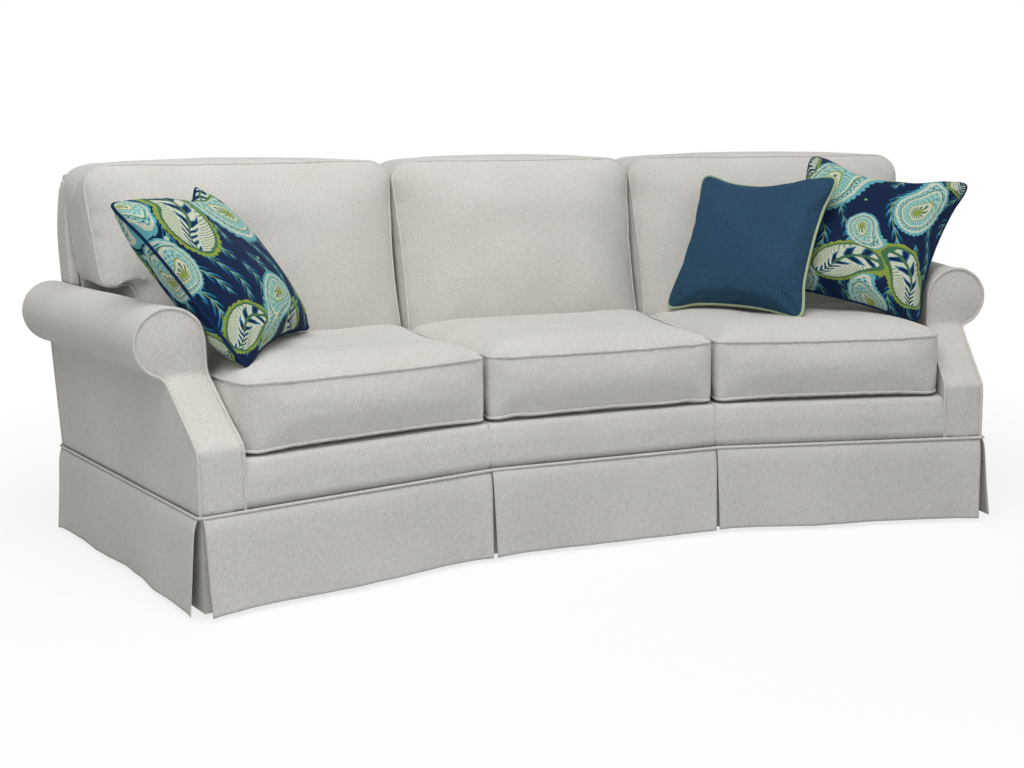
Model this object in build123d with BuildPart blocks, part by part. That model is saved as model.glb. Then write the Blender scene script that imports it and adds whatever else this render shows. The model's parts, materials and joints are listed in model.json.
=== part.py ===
"""A three-seat conversation sofa: three straight seats in a shallow curve, rolled arms,
loose boxed cushions, a skirted base and three throw pillows.

The middle seat lies square to the frame. Each side seat turns forward about a fold. Places on a
side seat are given as (u, s): u runs along its front from the fold, s goes back from the front.
The right side is drawn, and the left side is its mirror image.
"""
import os
from math import cos, radians, sin, sqrt, tan

from build123d import *

os.makedirs("parts", exist_ok=True)

# Plan, in millimetres and degrees
center_width = 576.0  # front of the middle seat, fold to fold
side_length = 678.0  # front of a side seat with its arm
turn = 13.0  # how far each side seat turns forward
splay = 5.0  # how far the arms open out towards the back
back_depth = 830.0  # front line to the outside back, at the top of the skirt
back_thickness = 102.0  # at the deck's level, from the inside back to the back's foot

# Heights of the base
glide_height = 5.0
leg_height = 105.0
rail_height = 180.0
skirt_clearance = 10.0
skirt_drop = 202.0
border_height = 104.0  # padded front above the skirt

# Arms
arm_thickness = 97.5
arm_low_height = 345.0  # top of the low front of the arm
arm_neck_height = 475.0  # where the slope ends under the roll
arm_setback = 155.0  # the roll's face stands this far behind the front
roll_rise = 70.0  # centre of the roll above the slope's end
roll_radius = 75.0
roll_offset = 82.0  # centre of the roll from the arm's inner face

# Back
back_top = 886.0
inside_lean = 14.5  # the inside back and the back cushions
outside_lean = 10.0
shoulder_reach = 25.0  # rounded end of the back outside its end post
shoulder_top_reach = 6.0
shoulder_height = 700.0  # where the rounded end is widest

# Boards, padding and covers
board = 25.0
panel_board = 18.0
front_padding = 14.0
arm_padding = 14.0
face_padding = 18.0
back_padding = 20.0
top_padding = 18.0
cover = 6.0
deck_thickness = 10.0
border_setback = 4.0
border_return = 50.0  # the border's cover runs back over the rail by this much
wood_clearance = 2.0
soft_gap = 0.4  # between soft pieces that lift off and what they touch
cut_overrun = 400.0

# Seat cushions
seat_front_inset = 7.0
seat_back_gap = 1.0  # seat cushion to the back cushion's front welt
seat_foot = 6.5  # bottom face to the lower welt
seat_boxing = 147.0  # welt to welt
seat_crown = 30.0
seat_corner = 34.0  # rounded outer front corner
seat_bulge = 5.0
seat_waist = 3.0  # the sides pull in between their corners
cushion_gap = 1.6

# Back cushions
back_cushion_depth = 216.0  # back face to the front welt
back_cushion_top = 910.0  # height of the top edges above the floor
back_cushion_crown = 44.0
back_border_crown = 8.0
back_cushion_corner = 46.0
back_foot_corner = 26.0
back_seam_inset = 5.7  # the seams run this far inside the folds at the seat's back edge
back_seam_turn = 3.2
back_seam_step = 4.0
back_edge_round = 14.0
ear_clearance = 14.0  # underside of the side cushions' ears above the roll
ear_reach = 64.0  # how far an ear lies over its arm

# Throw pillows
print_pillow_side = 440.0
print_pillow_loft = 150.0
plain_pillow_side = 410.0
plain_pillow_loft = 130.0
pillow_edge = 3.0  # half the thickness of the knife edge at the corners
pillow_waist = 14.0
pillow_neck_share = 0.699  # they stand in by this share of the arm's neck above the seat
# Where each pillow's lower edge rests: shares of the seat's width and depth, and the height of
# its middle above the seat, then how its edge is turned and risen and how far it leans back
left_pillow_shares = (0.658, 0.47)
left_pillow_lift = 2.1
left_pillow_turns = (62.2, 3.2, 37.9)
right_pillow_shares = (0.625, 0.466)
right_pillow_lift = 26.1
right_pillow_turns = (-51.2, -9.8, 37.4)
plain_pillow_shares = (0.182, 0.591)
plain_pillow_lift = -2.3
plain_pillow_turns = (-58.3, 0.0, 28.9)

# Skirt
skirt_thickness = 3.0
skirt_flare = 13.0
skirt_wave = 4.0
pleat_gap = 1.5  # from a panel's end to the fold
corner_gap = 3.6  # from a panel's end to an outer corner
pleat_insert_width = 90.0
pleat_insert_thickness = 2.0
pleat_insert_setback = 3.7
sewn_gap = 0.3  # between two sewn pieces
skirt_heading = 2.4  # the panels' top edges lie this far under the welt's middle
welt_radius = 3.5
welt_clearance = 0.7

# Legs, blocks and screws
leg_top_width = 62.0
leg_foot_width = 46.0
glide_radius = 18.0
leg_inset = 44.0  # centre of a leg, inside the rails' outer faces
block_leg = 95.0
block_height = 45.0
screw_radius = 2.5
screw_bore = 2.65  # radius of the holes
screw_head_radius = 5.0
screw_head_height = 3.0
screw_bite = 16.0
screw_share = 0.42  # how far along a block's leg its screw is
screw_seat_share = 0.4  # how deep in the block the screw's head sits
screw_step = 18.0  # the two screws of a block are this far apart in height
post_block_leg = 50.0

# Springs
spring_wire = 4.0
spring_width = 46.0
spring_loop = 48.0  # along the seat, from one cross wire to the next
spring_bend = 9.0
springs_per_seat = 4
clip_width = 16.0
clip_length = 20.0
clip_thickness = 2.0

# Worked out from the sizes above
half_turn = turn / 2
fold_x = center_width / 2
rail_low = glide_height + leg_height
inside_back_depth = back_depth - back_thickness
roll_height = arm_neck_height + roll_rise
ear_height = roll_height + roll_radius + ear_clearance
rail_top = rail_low + rail_height
skirt_top = skirt_clearance + skirt_drop
deck_top = skirt_top + border_height
rail_face = border_setback + front_padding
rail_back = rail_face + board
back_rail_back = back_depth - cover
back_rail_face = back_rail_back - board


def inside_back(height):
    """Depth of the inside back's face behind the front line, at a height."""
    return inside_back_depth + (height - deck_top) * tan(radians(inside_lean))


def outside_back(height):
    """Depth of the outside back behind the front line, at a height."""
    return back_depth + (height - skirt_top) * tan(radians(outside_lean))


back_reach = outside_back(back_top)
front_reach = side_length * sin(radians(turn)) + skirt_flare
front_y = (front_reach - back_reach) / 2


def on_side(u, s, z=0.0):
    """The point of the right side seat at u along its front and s behind it."""
    x = fold_x + u * cos(radians(turn)) + s * sin(radians(turn))
    y = front_y - u * sin(radians(turn)) + s * cos(radians(turn))
    return (x, y, z)


def arm_u(s, out=0.0):
    """How far along the side seat's front the arm's inner face is, or a wall further out."""
    at_front = side_length - (arm_thickness - out) / cos(radians(splay))
    return at_front + s * tan(radians(splay))


along_side = Vector(cos(radians(turn)), -sin(radians(turn)), 0)
behind_side = Vector(sin(radians(turn)), cos(radians(turn)), 0)
arm_turn = turn + splay
arm_out = Vector(cos(radians(arm_turn)), -sin(radians(arm_turn)), 0)
arm_back = Vector(sin(radians(arm_turn)), cos(radians(arm_turn)), 0)
up = Vector(0, 0, 1)

# Section planes: x is the depth behind the front line, y is the height
center_section = Plane(origin=(0, front_y, 0), x_dir=(0, 1, 0), z_dir=(1, 0, 0))
side_section = Plane(origin=on_side(0, 0), x_dir=behind_side, z_dir=along_side)
arm_front = Vector(*on_side(arm_u(0), 0))
arm_section = Plane(origin=arm_front, x_dir=arm_out, z_dir=-arm_back)

# Planes through the folds, where the pieces of neighbouring seats are mitred
fold_out = Vector(cos(radians(half_turn)), -sin(radians(half_turn)), 0)
fold_back = Vector(sin(radians(half_turn)), cos(radians(half_turn)), 0)
right_fold = Plane(origin=(fold_x, front_y, 0), x_dir=up, z_dir=fold_out)
left_fold = Plane(origin=(-fold_x, front_y, 0), x_dir=up, z_dir=(-fold_out.X, fold_out.Y, 0))
fold_section = Plane(origin=(fold_x, front_y, 0), x_dir=fold_back, z_dir=fold_out)
fold_reach = outside_back(back_top) * tan(radians(half_turn))


def along_fold(points):
    """Section points stretched to lie along a fold, where the seats' sections meet."""
    return [(s / cos(radians(half_turn)), height) for s, height in points]


def arm_wall(out):
    """A plane along the arm, this far out from its inner face."""
    return Plane(origin=arm_front + arm_out * out, x_dir=up, z_dir=arm_out)


def side_across(s):
    """An upright plane across the side seat, s behind its front line and facing back."""
    return Plane(origin=on_side(0, s), x_dir=along_side, z_dir=behind_side)


def side_outside_back(inset):
    """The raked plane of the outside back of the side seat, or one inside it."""
    normal = behind_side * cos(radians(outside_lean)) - up * sin(radians(outside_lean))
    return Plane(origin=on_side(0, back_depth - inset, skirt_top), x_dir=along_side, z_dir=normal)


def finish(piece, label):
    """Name a finished piece and write it."""
    piece.part.label = label
    export_step(piece.part, f"parts/{label}.step")


def finish_left(right_piece, label):
    """The left piece of a pair, mirrored from the right one."""
    with BuildPart() as piece:
        mirror(right_piece.part, about=Plane.YZ)
    finish(piece, label)


def center_run(points):
    """A length of the middle seat with this section, mitred at both folds."""
    with BuildPart() as piece:
        with BuildSketch(center_section):
            with BuildLine():
                Polyline(*points, close=True)
            make_face()
        extrude(amount=fold_x + fold_reach, both=True)
        split(bisect_by=right_fold, keep=Keep.BOTTOM)
        split(bisect_by=left_fold, keep=Keep.BOTTOM)
    return piece


def side_run(points, end_plane):
    """A length of the side seat with this section, mitred at the fold and cut at end_plane."""
    with BuildPart() as piece:
        with BuildSketch(side_section.offset(-fold_reach)):
            with BuildLine():
                Polyline(*points, close=True)
            make_face()
        extrude(amount=fold_reach + side_length + arm_thickness)
        split(bisect_by=right_fold, keep=Keep.TOP)
        split(bisect_by=end_plane, keep=Keep.BOTTOM)
    return piece


def box_points(near, far, low, high):
    """The corners of an upright rectangle in a section."""
    return [(near, low), (far, low), (far, high), (near, high)]


def side_prism(points):
    """A solid with this section that reaches across the whole arm, for cutting arm pieces."""
    with BuildPart() as prism:
        with BuildSketch(side_section.offset(side_length / 2)):
            with BuildLine():
                Polyline(*points, close=True)
            make_face()
        extrude(amount=side_length)
    return prism.part


def draw_arm(inset, low, outer_inset=0.0):
    """The arm seen from the front: straight sides and the roll, drawn in by an inset."""
    radius = roll_radius - inset
    outer = arm_thickness - outer_inset
    neck = roll_height - sqrt(radius**2 - (outer - roll_offset) ** 2)
    Line((inset, low), (inset, rail_top))
    Line((inset, rail_top), (roll_offset - radius, roll_height))
    ThreePointArc(
        (roll_offset - radius, roll_height),
        (roll_offset + radius, roll_height),
        (outer, neck),
    )
    Line((outer, neck), (outer, low))
    Line((outer, low), (inset, low))


arm_run = outside_back(back_top) + cut_overrun
arm_start = arm_section.offset(cut_overrun)

with BuildPart() as arm_body:
    with BuildSketch(arm_start):
        with BuildLine():
            draw_arm(0, rail_low)
        make_face()
    extrude(amount=-arm_run - cut_overrun)
    split(bisect_by=side_outside_back(0), keep=Keep.BOTTOM)

# Front, back and top rails
front_rail_points = box_points(rail_face, rail_back, rail_low, rail_top)
back_rail_points = box_points(back_rail_face, back_rail_back, rail_low, rail_top)
side_board_out = arm_thickness - cover - panel_board
side_rail_out = side_board_out - board
post_top = back_top - top_padding - board * 2


def post_front(height):
    """Depth of the front of the back's timber at a height."""
    return inside_back(height) + back_padding


def post_back(height):
    """Depth of the back of the back's timber at a height."""
    return outside_back(height) - cover - wood_clearance


top_rail_top = back_top - top_padding
top_rail_points = [
    (post_front(post_top), post_top),
    (post_back(post_top), post_top),
    (post_back(top_rail_top), top_rail_top),
    (post_front(top_rail_top), top_rail_top),
]
end_post_u = arm_u(inside_back(deck_top), roll_offset - roll_radius + arm_padding)
back_end = end_post_u + board
back_end_plane = Plane(origin=on_side(back_end, 0), x_dir=up, z_dir=along_side)

front_rail_center = center_run(front_rail_points)
finish(front_rail_center, "front_rail_center")
back_rail_center = center_run(back_rail_points)
finish(back_rail_center, "back_rail_center")
top_rail_center = center_run(top_rail_points)
finish(top_rail_center, "top_rail_center")

# Corner blocks: the front ones join two rails, the back ones join a rail to the end post
block_low = rail_low + rail_height / 2
screw_height = block_low + block_height / 2 - screw_step / 2
front_corner_u = arm_u(rail_back, side_rail_out)
front_block_points = [
    on_side(front_corner_u, rail_back)[:2],
    on_side(front_corner_u - block_leg, rail_back)[:2],
    on_side(arm_u(rail_back + block_leg, side_rail_out), rail_back + block_leg)[:2],
]
back_block_points = [
    on_side(end_post_u, back_rail_face)[:2],
    on_side(end_post_u - block_leg, back_rail_face)[:2],
    on_side(end_post_u, back_rail_face - post_block_leg)[:2],
]


def screw_place(u, s, into, above=0.0):
    """Where a screw crosses a timber's face; its plane faces out of the timber."""
    return Plane(origin=on_side(u, s, screw_height + above), x_dir=up, z_dir=-into)


side_screw_s = rail_back + block_leg * screw_share
post_screw_s = back_rail_face - post_block_leg * screw_share
front_rail_screw = screw_place(front_corner_u - block_leg * screw_share, rail_back, -behind_side)
side_rail_screw = screw_place(arm_u(side_screw_s, side_rail_out), side_screw_s, arm_out, screw_step)
back_rail_screw = screw_place(end_post_u - block_leg * screw_share, back_rail_face, behind_side)
post_screw = screw_place(end_post_u, post_screw_s, along_side, screw_step)
screw_seats = (
    (front_rail_screw, block_leg * screw_seat_share),
    (side_rail_screw, block_leg * screw_seat_share),
    (back_rail_screw, post_block_leg * screw_seat_share),
    (post_screw, block_leg * screw_seat_share),
)

# The side rails, bored for the screws
with BuildPart() as front_rail_right:
    add(side_run(front_rail_points, arm_wall(side_board_out)).part)
    with BuildSketch(front_rail_screw):
        Circle(screw_bore)
    extrude(amount=-screw_bite, mode=Mode.SUBTRACT)
finish(front_rail_right, "front_rail_right")
finish_left(front_rail_right, "front_rail_left")

with BuildPart() as back_rail_right:
    add(side_run(back_rail_points, arm_wall(side_board_out)).part)
    with BuildSketch(back_rail_screw):
        Circle(screw_bore)
    extrude(amount=-screw_bite, mode=Mode.SUBTRACT)
finish(back_rail_right, "back_rail_right")
finish_left(back_rail_right, "back_rail_left")

top_rail_right = side_run(top_rail_points, back_end_plane)
finish(top_rail_right, "top_rail_right")
finish_left(top_rail_right, "top_rail_left")

with BuildPart() as side_rail_right:
    with BuildSketch(arm_start):
        with BuildLine():
            Polyline(*box_points(side_rail_out, side_board_out, rail_low, rail_top), close=True)
        make_face()
    extrude(amount=-arm_run - cut_overrun)
    split(bisect_by=side_across(rail_back), keep=Keep.TOP)
    split(bisect_by=side_across(back_rail_face), keep=Keep.BOTTOM)
    with BuildSketch(side_rail_screw):
        Circle(screw_bore)
    extrude(amount=-screw_bite, mode=Mode.SUBTRACT)
finish(side_rail_right, "side_rail_right")
finish_left(side_rail_right, "side_rail_left")

with BuildPart() as corner_blocks:
    with BuildSketch(Plane.XY.offset(block_low)):
        with BuildLine():
            Polyline(*front_block_points, close=True)
        make_face()
        with BuildLine():
            Polyline(*back_block_points, close=True)
        make_face()
    extrude(amount=block_height)
    for place, seat in screw_seats:
        with BuildSketch(place):
            Circle(screw_bore)
        extrude(amount=seat, mode=Mode.SUBTRACT)
        with BuildSketch(place.offset(seat)):
            Circle(screw_head_radius)
        extrude(amount=block_leg, mode=Mode.SUBTRACT)
    mirror(about=Plane.YZ)
finish(corner_blocks, "corner_blocks")

with BuildPart() as corner_screws:
    for place, seat in screw_seats:
        with BuildSketch(place.offset(-screw_bite)):
            Circle(screw_radius)
        extrude(amount=screw_bite + seat)
        with BuildSketch(place.offset(seat)):
            RegularPolygon(screw_head_radius, 6)
        extrude(amount=screw_head_height)
    mirror(about=Plane.YZ)
finish(corner_screws, "corner_screws")

# A stretcher runs from front to back under each fold
cross_top = rail_top - rail_height / 3
with BuildPart() as seat_cross_rails:
    with BuildSketch(fold_section):
        with BuildLine():
            cross_points = box_points(rail_back, post_front(rail_top), rail_low, cross_top)
            Polyline(*along_fold(cross_points), close=True)
        make_face()
    extrude(amount=board / 2, both=True)
    mirror(about=Plane.YZ)
finish(seat_cross_rails, "seat_cross_rails")

# Tapered block legs under the rails, with nail-on glides
def leg_planes(height):
    """The level planes on each right leg's centre line: two at the fold, two at the arm."""
    planes = []
    for s in (rail_face + leg_inset, back_rail_back - leg_inset):
        place = (fold_x + s * fold_back.X, front_y + s * fold_back.Y, height)
        planes.append(Plane(origin=place, x_dir=fold_out, z_dir=up))
        corner = on_side(arm_u(s, side_board_out) - leg_inset, s, height)
        planes.append(Plane(origin=corner, x_dir=along_side, z_dir=up))
    return planes


with BuildPart() as legs:
    for leg_plane, top_plane in zip(leg_planes(glide_height), leg_planes(rail_low)):
        with BuildSketch(leg_plane):
            Rectangle(leg_foot_width, leg_foot_width)
        with BuildSketch(top_plane):
            Rectangle(leg_top_width, leg_top_width)
        loft()
    mirror(about=Plane.YZ)
finish(legs, "legs")

with BuildPart() as leg_glides:
    with BuildSketch(*leg_planes(0)):
        Circle(glide_radius)
    extrude(amount=glide_height)
    mirror(about=Plane.YZ)
finish(leg_glides, "leg_glides")

# Posts carry the back: one at each arm and one at each fold
def post_points(heel):
    """The section of a back post, its foot running down in front of the back rail to a heel."""
    return [
        (post_front(rail_top), rail_low),
        (heel, rail_low),
        (heel, rail_top),
        (post_back(rail_top), rail_top),
        (post_back(post_top), post_top),
        (post_front(post_top), post_top),
        (post_front(rail_top), rail_top),
    ]


with BuildPart() as end_post:
    with BuildSketch(side_section.offset(end_post_u)):
        with BuildLine():
            Polyline(*post_points(back_rail_face), close=True)
        make_face()
    extrude(amount=board)
    with BuildSketch(post_screw):
        Circle(screw_bore)
    extrude(amount=-screw_bite, mode=Mode.SUBTRACT)

with BuildPart() as back_posts:
    add(end_post.part)
    with BuildSketch(fold_section):
        with BuildLine():
            Polyline(*along_fold(post_points(back_rail_face - wood_clearance)), close=True)
        make_face()
    extrude(amount=board / 2, both=True)
    mirror(about=Plane.YZ)
finish(back_posts, "back_posts")

# Plywood arm sides follow the arm's profile under its cover
slope = (arm_neck_height - arm_low_height) / arm_setback
slope_drop = face_padding * sqrt(1 + slope**2)


def slope_height(s):
    """Height of the arm's slope at a depth behind the front."""
    return arm_low_height + s * slope


face_back = arm_setback + face_padding
low_inner = (face_padding, slope_height(face_padding) - slope_drop)
high_inner = (face_back, slope_height(face_back) - slope_drop)
arm_board_back = face_back + panel_board
top_board_low = roll_height - panel_board / 2
arm_hole_width = 180.0
arm_hole_height = 100.0

with BuildPart() as arm_side_panel_right:
    with BuildSketch(arm_start):
        with BuildLine():
            panel_out = arm_thickness - cover
            Polyline(*box_points(side_board_out, panel_out, rail_low, top_board_low), close=True)
        make_face()
    extrude(amount=-arm_run - cut_overrun)
    add(
        side_prism(
            [
                (face_padding, rail_low),
                low_inner,
                high_inner,
                (arm_board_back, high_inner[1]),
                (arm_board_back, top_board_low),
                (arm_run, top_board_low),
                (arm_run, rail_low),
            ]
        ),
        mode=Mode.INTERSECT,
    )
    split(bisect_by=side_outside_back(cover), keep=Keep.BOTTOM)
    with BuildSketch(side_section.offset(side_length / 2)):
        with Locations((back_depth / 3, deck_top), (back_depth * 2 / 3, deck_top + arm_hole_height / 2)):
            SlotOverall(arm_hole_width, arm_hole_height)
    extrude(amount=side_length, mode=Mode.SUBTRACT)
finish(arm_side_panel_right, "arm_side_panel_right")
finish_left(arm_side_panel_right, "arm_side_panel_left")

# Roll-shaped front boards and the boards along the top of the arms
with BuildPart() as arm_front_boards:
    with BuildSketch(arm_start):
        with Locations((roll_offset, roll_height)):
            Circle(roll_radius - arm_padding)
        with BuildLine():
            Polyline(
                (arm_padding, rail_top),
                (side_board_out, rail_top),
                (side_board_out, roll_height),
                (roll_offset - roll_radius + arm_padding, roll_height),
                close=True,
            )
        make_face()
    extrude(amount=-arm_run)
    split(bisect_by=side_across(face_back), keep=Keep.TOP)
    split(bisect_by=side_across(arm_board_back), keep=Keep.BOTTOM)
    mirror(about=Plane.YZ)
finish(arm_front_boards, "arm_front_boards")

with BuildPart() as arm_top_boards:
    with BuildSketch(arm_start):
        with BuildLine():
            Polyline(
                *box_points(
                    side_rail_out,
                    roll_offset + roll_radius - arm_padding * 2,
                    top_board_low,
                    top_board_low + panel_board,
                ),
                close=True,
            )
        make_face()
    extrude(amount=-arm_run)
    split(bisect_by=side_across(arm_board_back), keep=Keep.TOP)
    split(bisect_by=side_across(post_front(top_board_low) - wood_clearance), keep=Keep.BOTTOM)
    mirror(about=Plane.YZ)
finish(arm_top_boards, "arm_top_boards")

# Zigzag seat springs, clipped to the tops of the front and back rails
spring_start = rail_face + board / 2
spring_end = back_rail_face + board / 2
spring_level = rail_top + clip_thickness
loop_count = round((spring_end - spring_start) / spring_loop)
loop_length = (spring_end - spring_start) / loop_count
side_span = arm_u(rail_back)
center_springs = [center_width * (i + 0.5) / springs_per_seat - fold_x for i in range(springs_per_seat)]
side_springs = [side_span * (i + 0.5) / springs_per_seat for i in range(springs_per_seat)]


def spring_line():
    """The zigzag of one spring, its bends cut off straight, about the y axis."""
    half_width = spring_width / 2
    points = [(0.0, spring_start)]
    side = 1
    for loop in range(1, loop_count):
        s = spring_start + loop * loop_length
        points.append((side * half_width, s - spring_bend))
        points.append((side * half_width, s + spring_bend))
        side = -side
    points.append((0.0, spring_end))
    return points


def beside(points, distance):
    """The same line of points moved to the left of the way it runs, its corners mitred."""
    places = [Vector(*point) for point in points]
    ways = [(end - start).normalized() for start, end in zip(places, places[1:])]
    moved = []
    for i, place in enumerate(places):
        before = ways[max(i - 1, 0)]
        after = ways[min(i, len(ways) - 1)]
        lefts = Vector(-before.Y, before.X), Vector(-after.Y, after.X)
        mitre = (lefts[0] + lefts[1]) / (1 + lefts[0].dot(lefts[1]))
        moved.append(place + mitre * distance)
    return moved


def spring_planes(height):
    """A level plane for each spring of the middle and right seats, y running back."""
    planes = []
    for x in center_springs:
        planes.append(Plane(origin=(x, front_y, height)))
    for u in side_springs:
        planes.append(Plane(origin=on_side(u, 0, height), x_dir=along_side, z_dir=up))
    return planes


def spring_solid(plane):
    """One spring, lying in this plane."""
    with BuildPart() as spring:
        with BuildSketch(plane):
            with BuildLine():
                left_side = beside(spring_line(), spring_wire / 2)
                right_side = beside(spring_line(), -spring_wire / 2)
                Polyline(*left_side, *reversed(right_side), close=True)
            make_face()
        extrude(amount=spring_wire)
    return spring.part


with BuildPart() as seat_springs:
    for index, plane in enumerate(spring_planes(spring_level)):
        spring = spring_solid(plane)
        add(spring)
        if index >= springs_per_seat:
            add(mirror(spring, about=Plane.YZ, mode=Mode.PRIVATE))
finish(seat_springs, "seat_springs")

with BuildPart() as spring_clips:
    for index, plane in enumerate(spring_planes(rail_top)):
        with BuildSketch(plane):
            with Locations((0, spring_start), (0, spring_end)):
                Rectangle(clip_width, clip_length)
        extrude(amount=clip_thickness)
    mirror(about=Plane.YZ)
finish(spring_clips, "spring_clips")

# The deck over the springs, and the padded border along the front
deck_low = deck_top - deck_thickness
deck_points = box_points(rail_face + border_return, post_front(rail_top) - wood_clearance, deck_low, deck_top)
with BuildPart() as seat_deck:
    add(center_run(deck_points).part)
    side_deck = side_run(deck_points, arm_wall(0)).part
    add(side_deck)
    add(mirror(side_deck, about=Plane.YZ, mode=Mode.PRIVATE))
finish(seat_deck, "seat_deck")

border_edge = front_padding * 0.7
border_points = [
    (border_setback, skirt_top),
    (border_setback, deck_top - border_edge),
    (border_setback + border_edge / 3, deck_top - border_edge / 3),
    (border_setback + border_edge, deck_top),
    (rail_face + border_return, deck_top),
    (rail_face + border_return, deck_low),
    (rail_face, deck_low),
    (rail_face, skirt_top),
]
front_border_center = center_run(border_points)
finish(front_border_center, "front_border_center")
front_border_right = side_run(border_points, arm_wall(0))
finish(front_border_right, "front_border_right")
finish_left(front_border_right, "front_border_left")

# Arm covers: the inside arm runs up over the roll, and the face covers the front and slope
inside_prism_points = [
    (face_padding, rail_top),
    low_inner,
    high_inner,
    (face_back, back_top),
    (arm_run, back_top),
    (arm_run, rail_top),
]
inner_radius = roll_radius - arm_padding
outer_wall = arm_thickness - cover
neck_height = roll_height - sqrt(roll_radius**2 - (arm_thickness - roll_offset) ** 2)
inner_neck_height = roll_height - sqrt(inner_radius**2 - (outer_wall - roll_offset) ** 2)
panel_top = roll_height - sqrt(roll_radius**2 - (outer_wall - roll_offset) ** 2)

with BuildPart() as inside_arm_right:
    with BuildSketch(arm_start):
        with BuildLine():
            Line((0, rail_top), (roll_offset - roll_radius, roll_height))
            ThreePointArc(
                (roll_offset - roll_radius, roll_height),
                (roll_offset + roll_radius, roll_height),
                (arm_thickness, neck_height),
            )
            Line((arm_thickness, neck_height), (outer_wall, inner_neck_height))
            ThreePointArc(
                (outer_wall, inner_neck_height),
                (roll_offset + inner_radius, roll_height),
                (roll_offset - inner_radius, roll_height),
            )
            Line((roll_offset - inner_radius, roll_height), (arm_padding, rail_top))
            Line((arm_padding, rail_top), (0, rail_top))
        make_face()
    extrude(amount=-arm_run - cut_overrun)
    add(side_prism(inside_prism_points), mode=Mode.INTERSECT)
    split(bisect_by=side_outside_back(cover), keep=Keep.BOTTOM)
    add(end_post.part, mode=Mode.SUBTRACT)
finish(inside_arm_right, "inside_arm_right")
finish_left(inside_arm_right, "inside_arm_left")

outside_prism_points = [
    (face_padding, skirt_top),
    low_inner,
    high_inner,
    (face_back, panel_top),
    (arm_run, panel_top),
    (arm_run, skirt_top),
]
with BuildPart() as outside_arm_right:
    with BuildSketch(arm_start):
        with BuildLine():
            Polyline(*box_points(outer_wall, arm_thickness, skirt_top, panel_top), close=True)
        make_face()
    extrude(amount=-arm_run - cut_overrun)
    add(side_prism(outside_prism_points), mode=Mode.INTERSECT)
    split(bisect_by=side_outside_back(cover), keep=Keep.BOTTOM)
finish(outside_arm_right, "outside_arm_right")
finish_left(outside_arm_right, "outside_arm_left")

face_strip_points = [
    (0, skirt_top),
    (0, arm_low_height),
    (arm_setback, arm_neck_height),
    (arm_setback, back_top),
    (face_back, back_top),
    high_inner,
    low_inner,
    (face_padding, skirt_top),
]
with BuildPart() as arm_face_right:
    with BuildSketch(arm_start):
        with BuildLine():
            draw_arm(0, skirt_top)
        make_face()
    extrude(amount=-arm_run - cut_overrun)
    add(side_prism(face_strip_points), mode=Mode.INTERSECT)
finish(arm_face_right, "arm_face_right")
finish_left(arm_face_right, "arm_face_left")

# The padded inside back folds over the top rail, and a flat panel closes the back
back_round = top_padding
fold_down = top_padding * 2
pad_back_top = outside_back(back_top)
inside_back_points = [
    (inside_back(deck_top), deck_top),
    (inside_back(back_top - back_round), back_top - back_round),
    (inside_back(back_top) + back_round / 4, back_top - back_round / 4),
    (inside_back(back_top) + back_round, back_top),
    (pad_back_top - back_round, back_top),
    (pad_back_top - back_round / 4, back_top - back_round / 4),
    (outside_back(back_top - back_round), back_top - back_round),
    (outside_back(back_top - fold_down), back_top - fold_down),
    (outside_back(back_top - fold_down) - cover, back_top - fold_down),
    (outside_back(top_rail_top) - cover, top_rail_top),
    (post_front(top_rail_top), top_rail_top),
    (post_front(deck_top), deck_top),
]
inside_back_center = center_run(inside_back_points)
finish(inside_back_center, "inside_back_center")

with BuildPart() as inside_back_right:
    add(side_run(inside_back_points, back_end_plane).part)
    add(arm_body.part, mode=Mode.SUBTRACT)
finish(inside_back_right, "inside_back_right")
finish_left(inside_back_right, "inside_back_left")

# Rounded shoulders close the ends of the back above the arms
side_elevation = Plane(origin=on_side(0, 0), x_dir=along_side, z_dir=-behind_side)
shoulder_wide = back_end + shoulder_reach
shoulder_top_u = back_end + shoulder_top_reach


def draw_shoulder():
    """The rounded end of the back, seen from the front."""
    Line((back_end, back_top), (back_end, roll_height))
    Line((back_end, roll_height), (shoulder_wide, roll_height))
    Line((shoulder_wide, roll_height), (shoulder_wide, shoulder_height))
    ThreePointArc(
        (shoulder_wide, shoulder_height),
        ((shoulder_wide + shoulder_top_u) / 2 + shoulder_top_reach / 2, (shoulder_height + back_top) / 2),
        (back_end, back_top),
    )


with BuildPart() as back_shoulder_right:
    with BuildSketch(side_elevation):
        with BuildLine():
            draw_shoulder()
        make_face()
    extrude(amount=-back_reach)
    add(
        side_prism(
            [
                (inside_back(roll_height), roll_height),
                (inside_back(back_top), back_top),
                (outside_back(back_top) - cover, back_top),
                (outside_back(roll_height) - cover, roll_height),
            ]
        ),
        mode=Mode.INTERSECT,
    )
    add(arm_body.part, mode=Mode.SUBTRACT)
finish(back_shoulder_right, "back_shoulder_right")
finish_left(back_shoulder_right, "back_shoulder_left")

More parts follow.
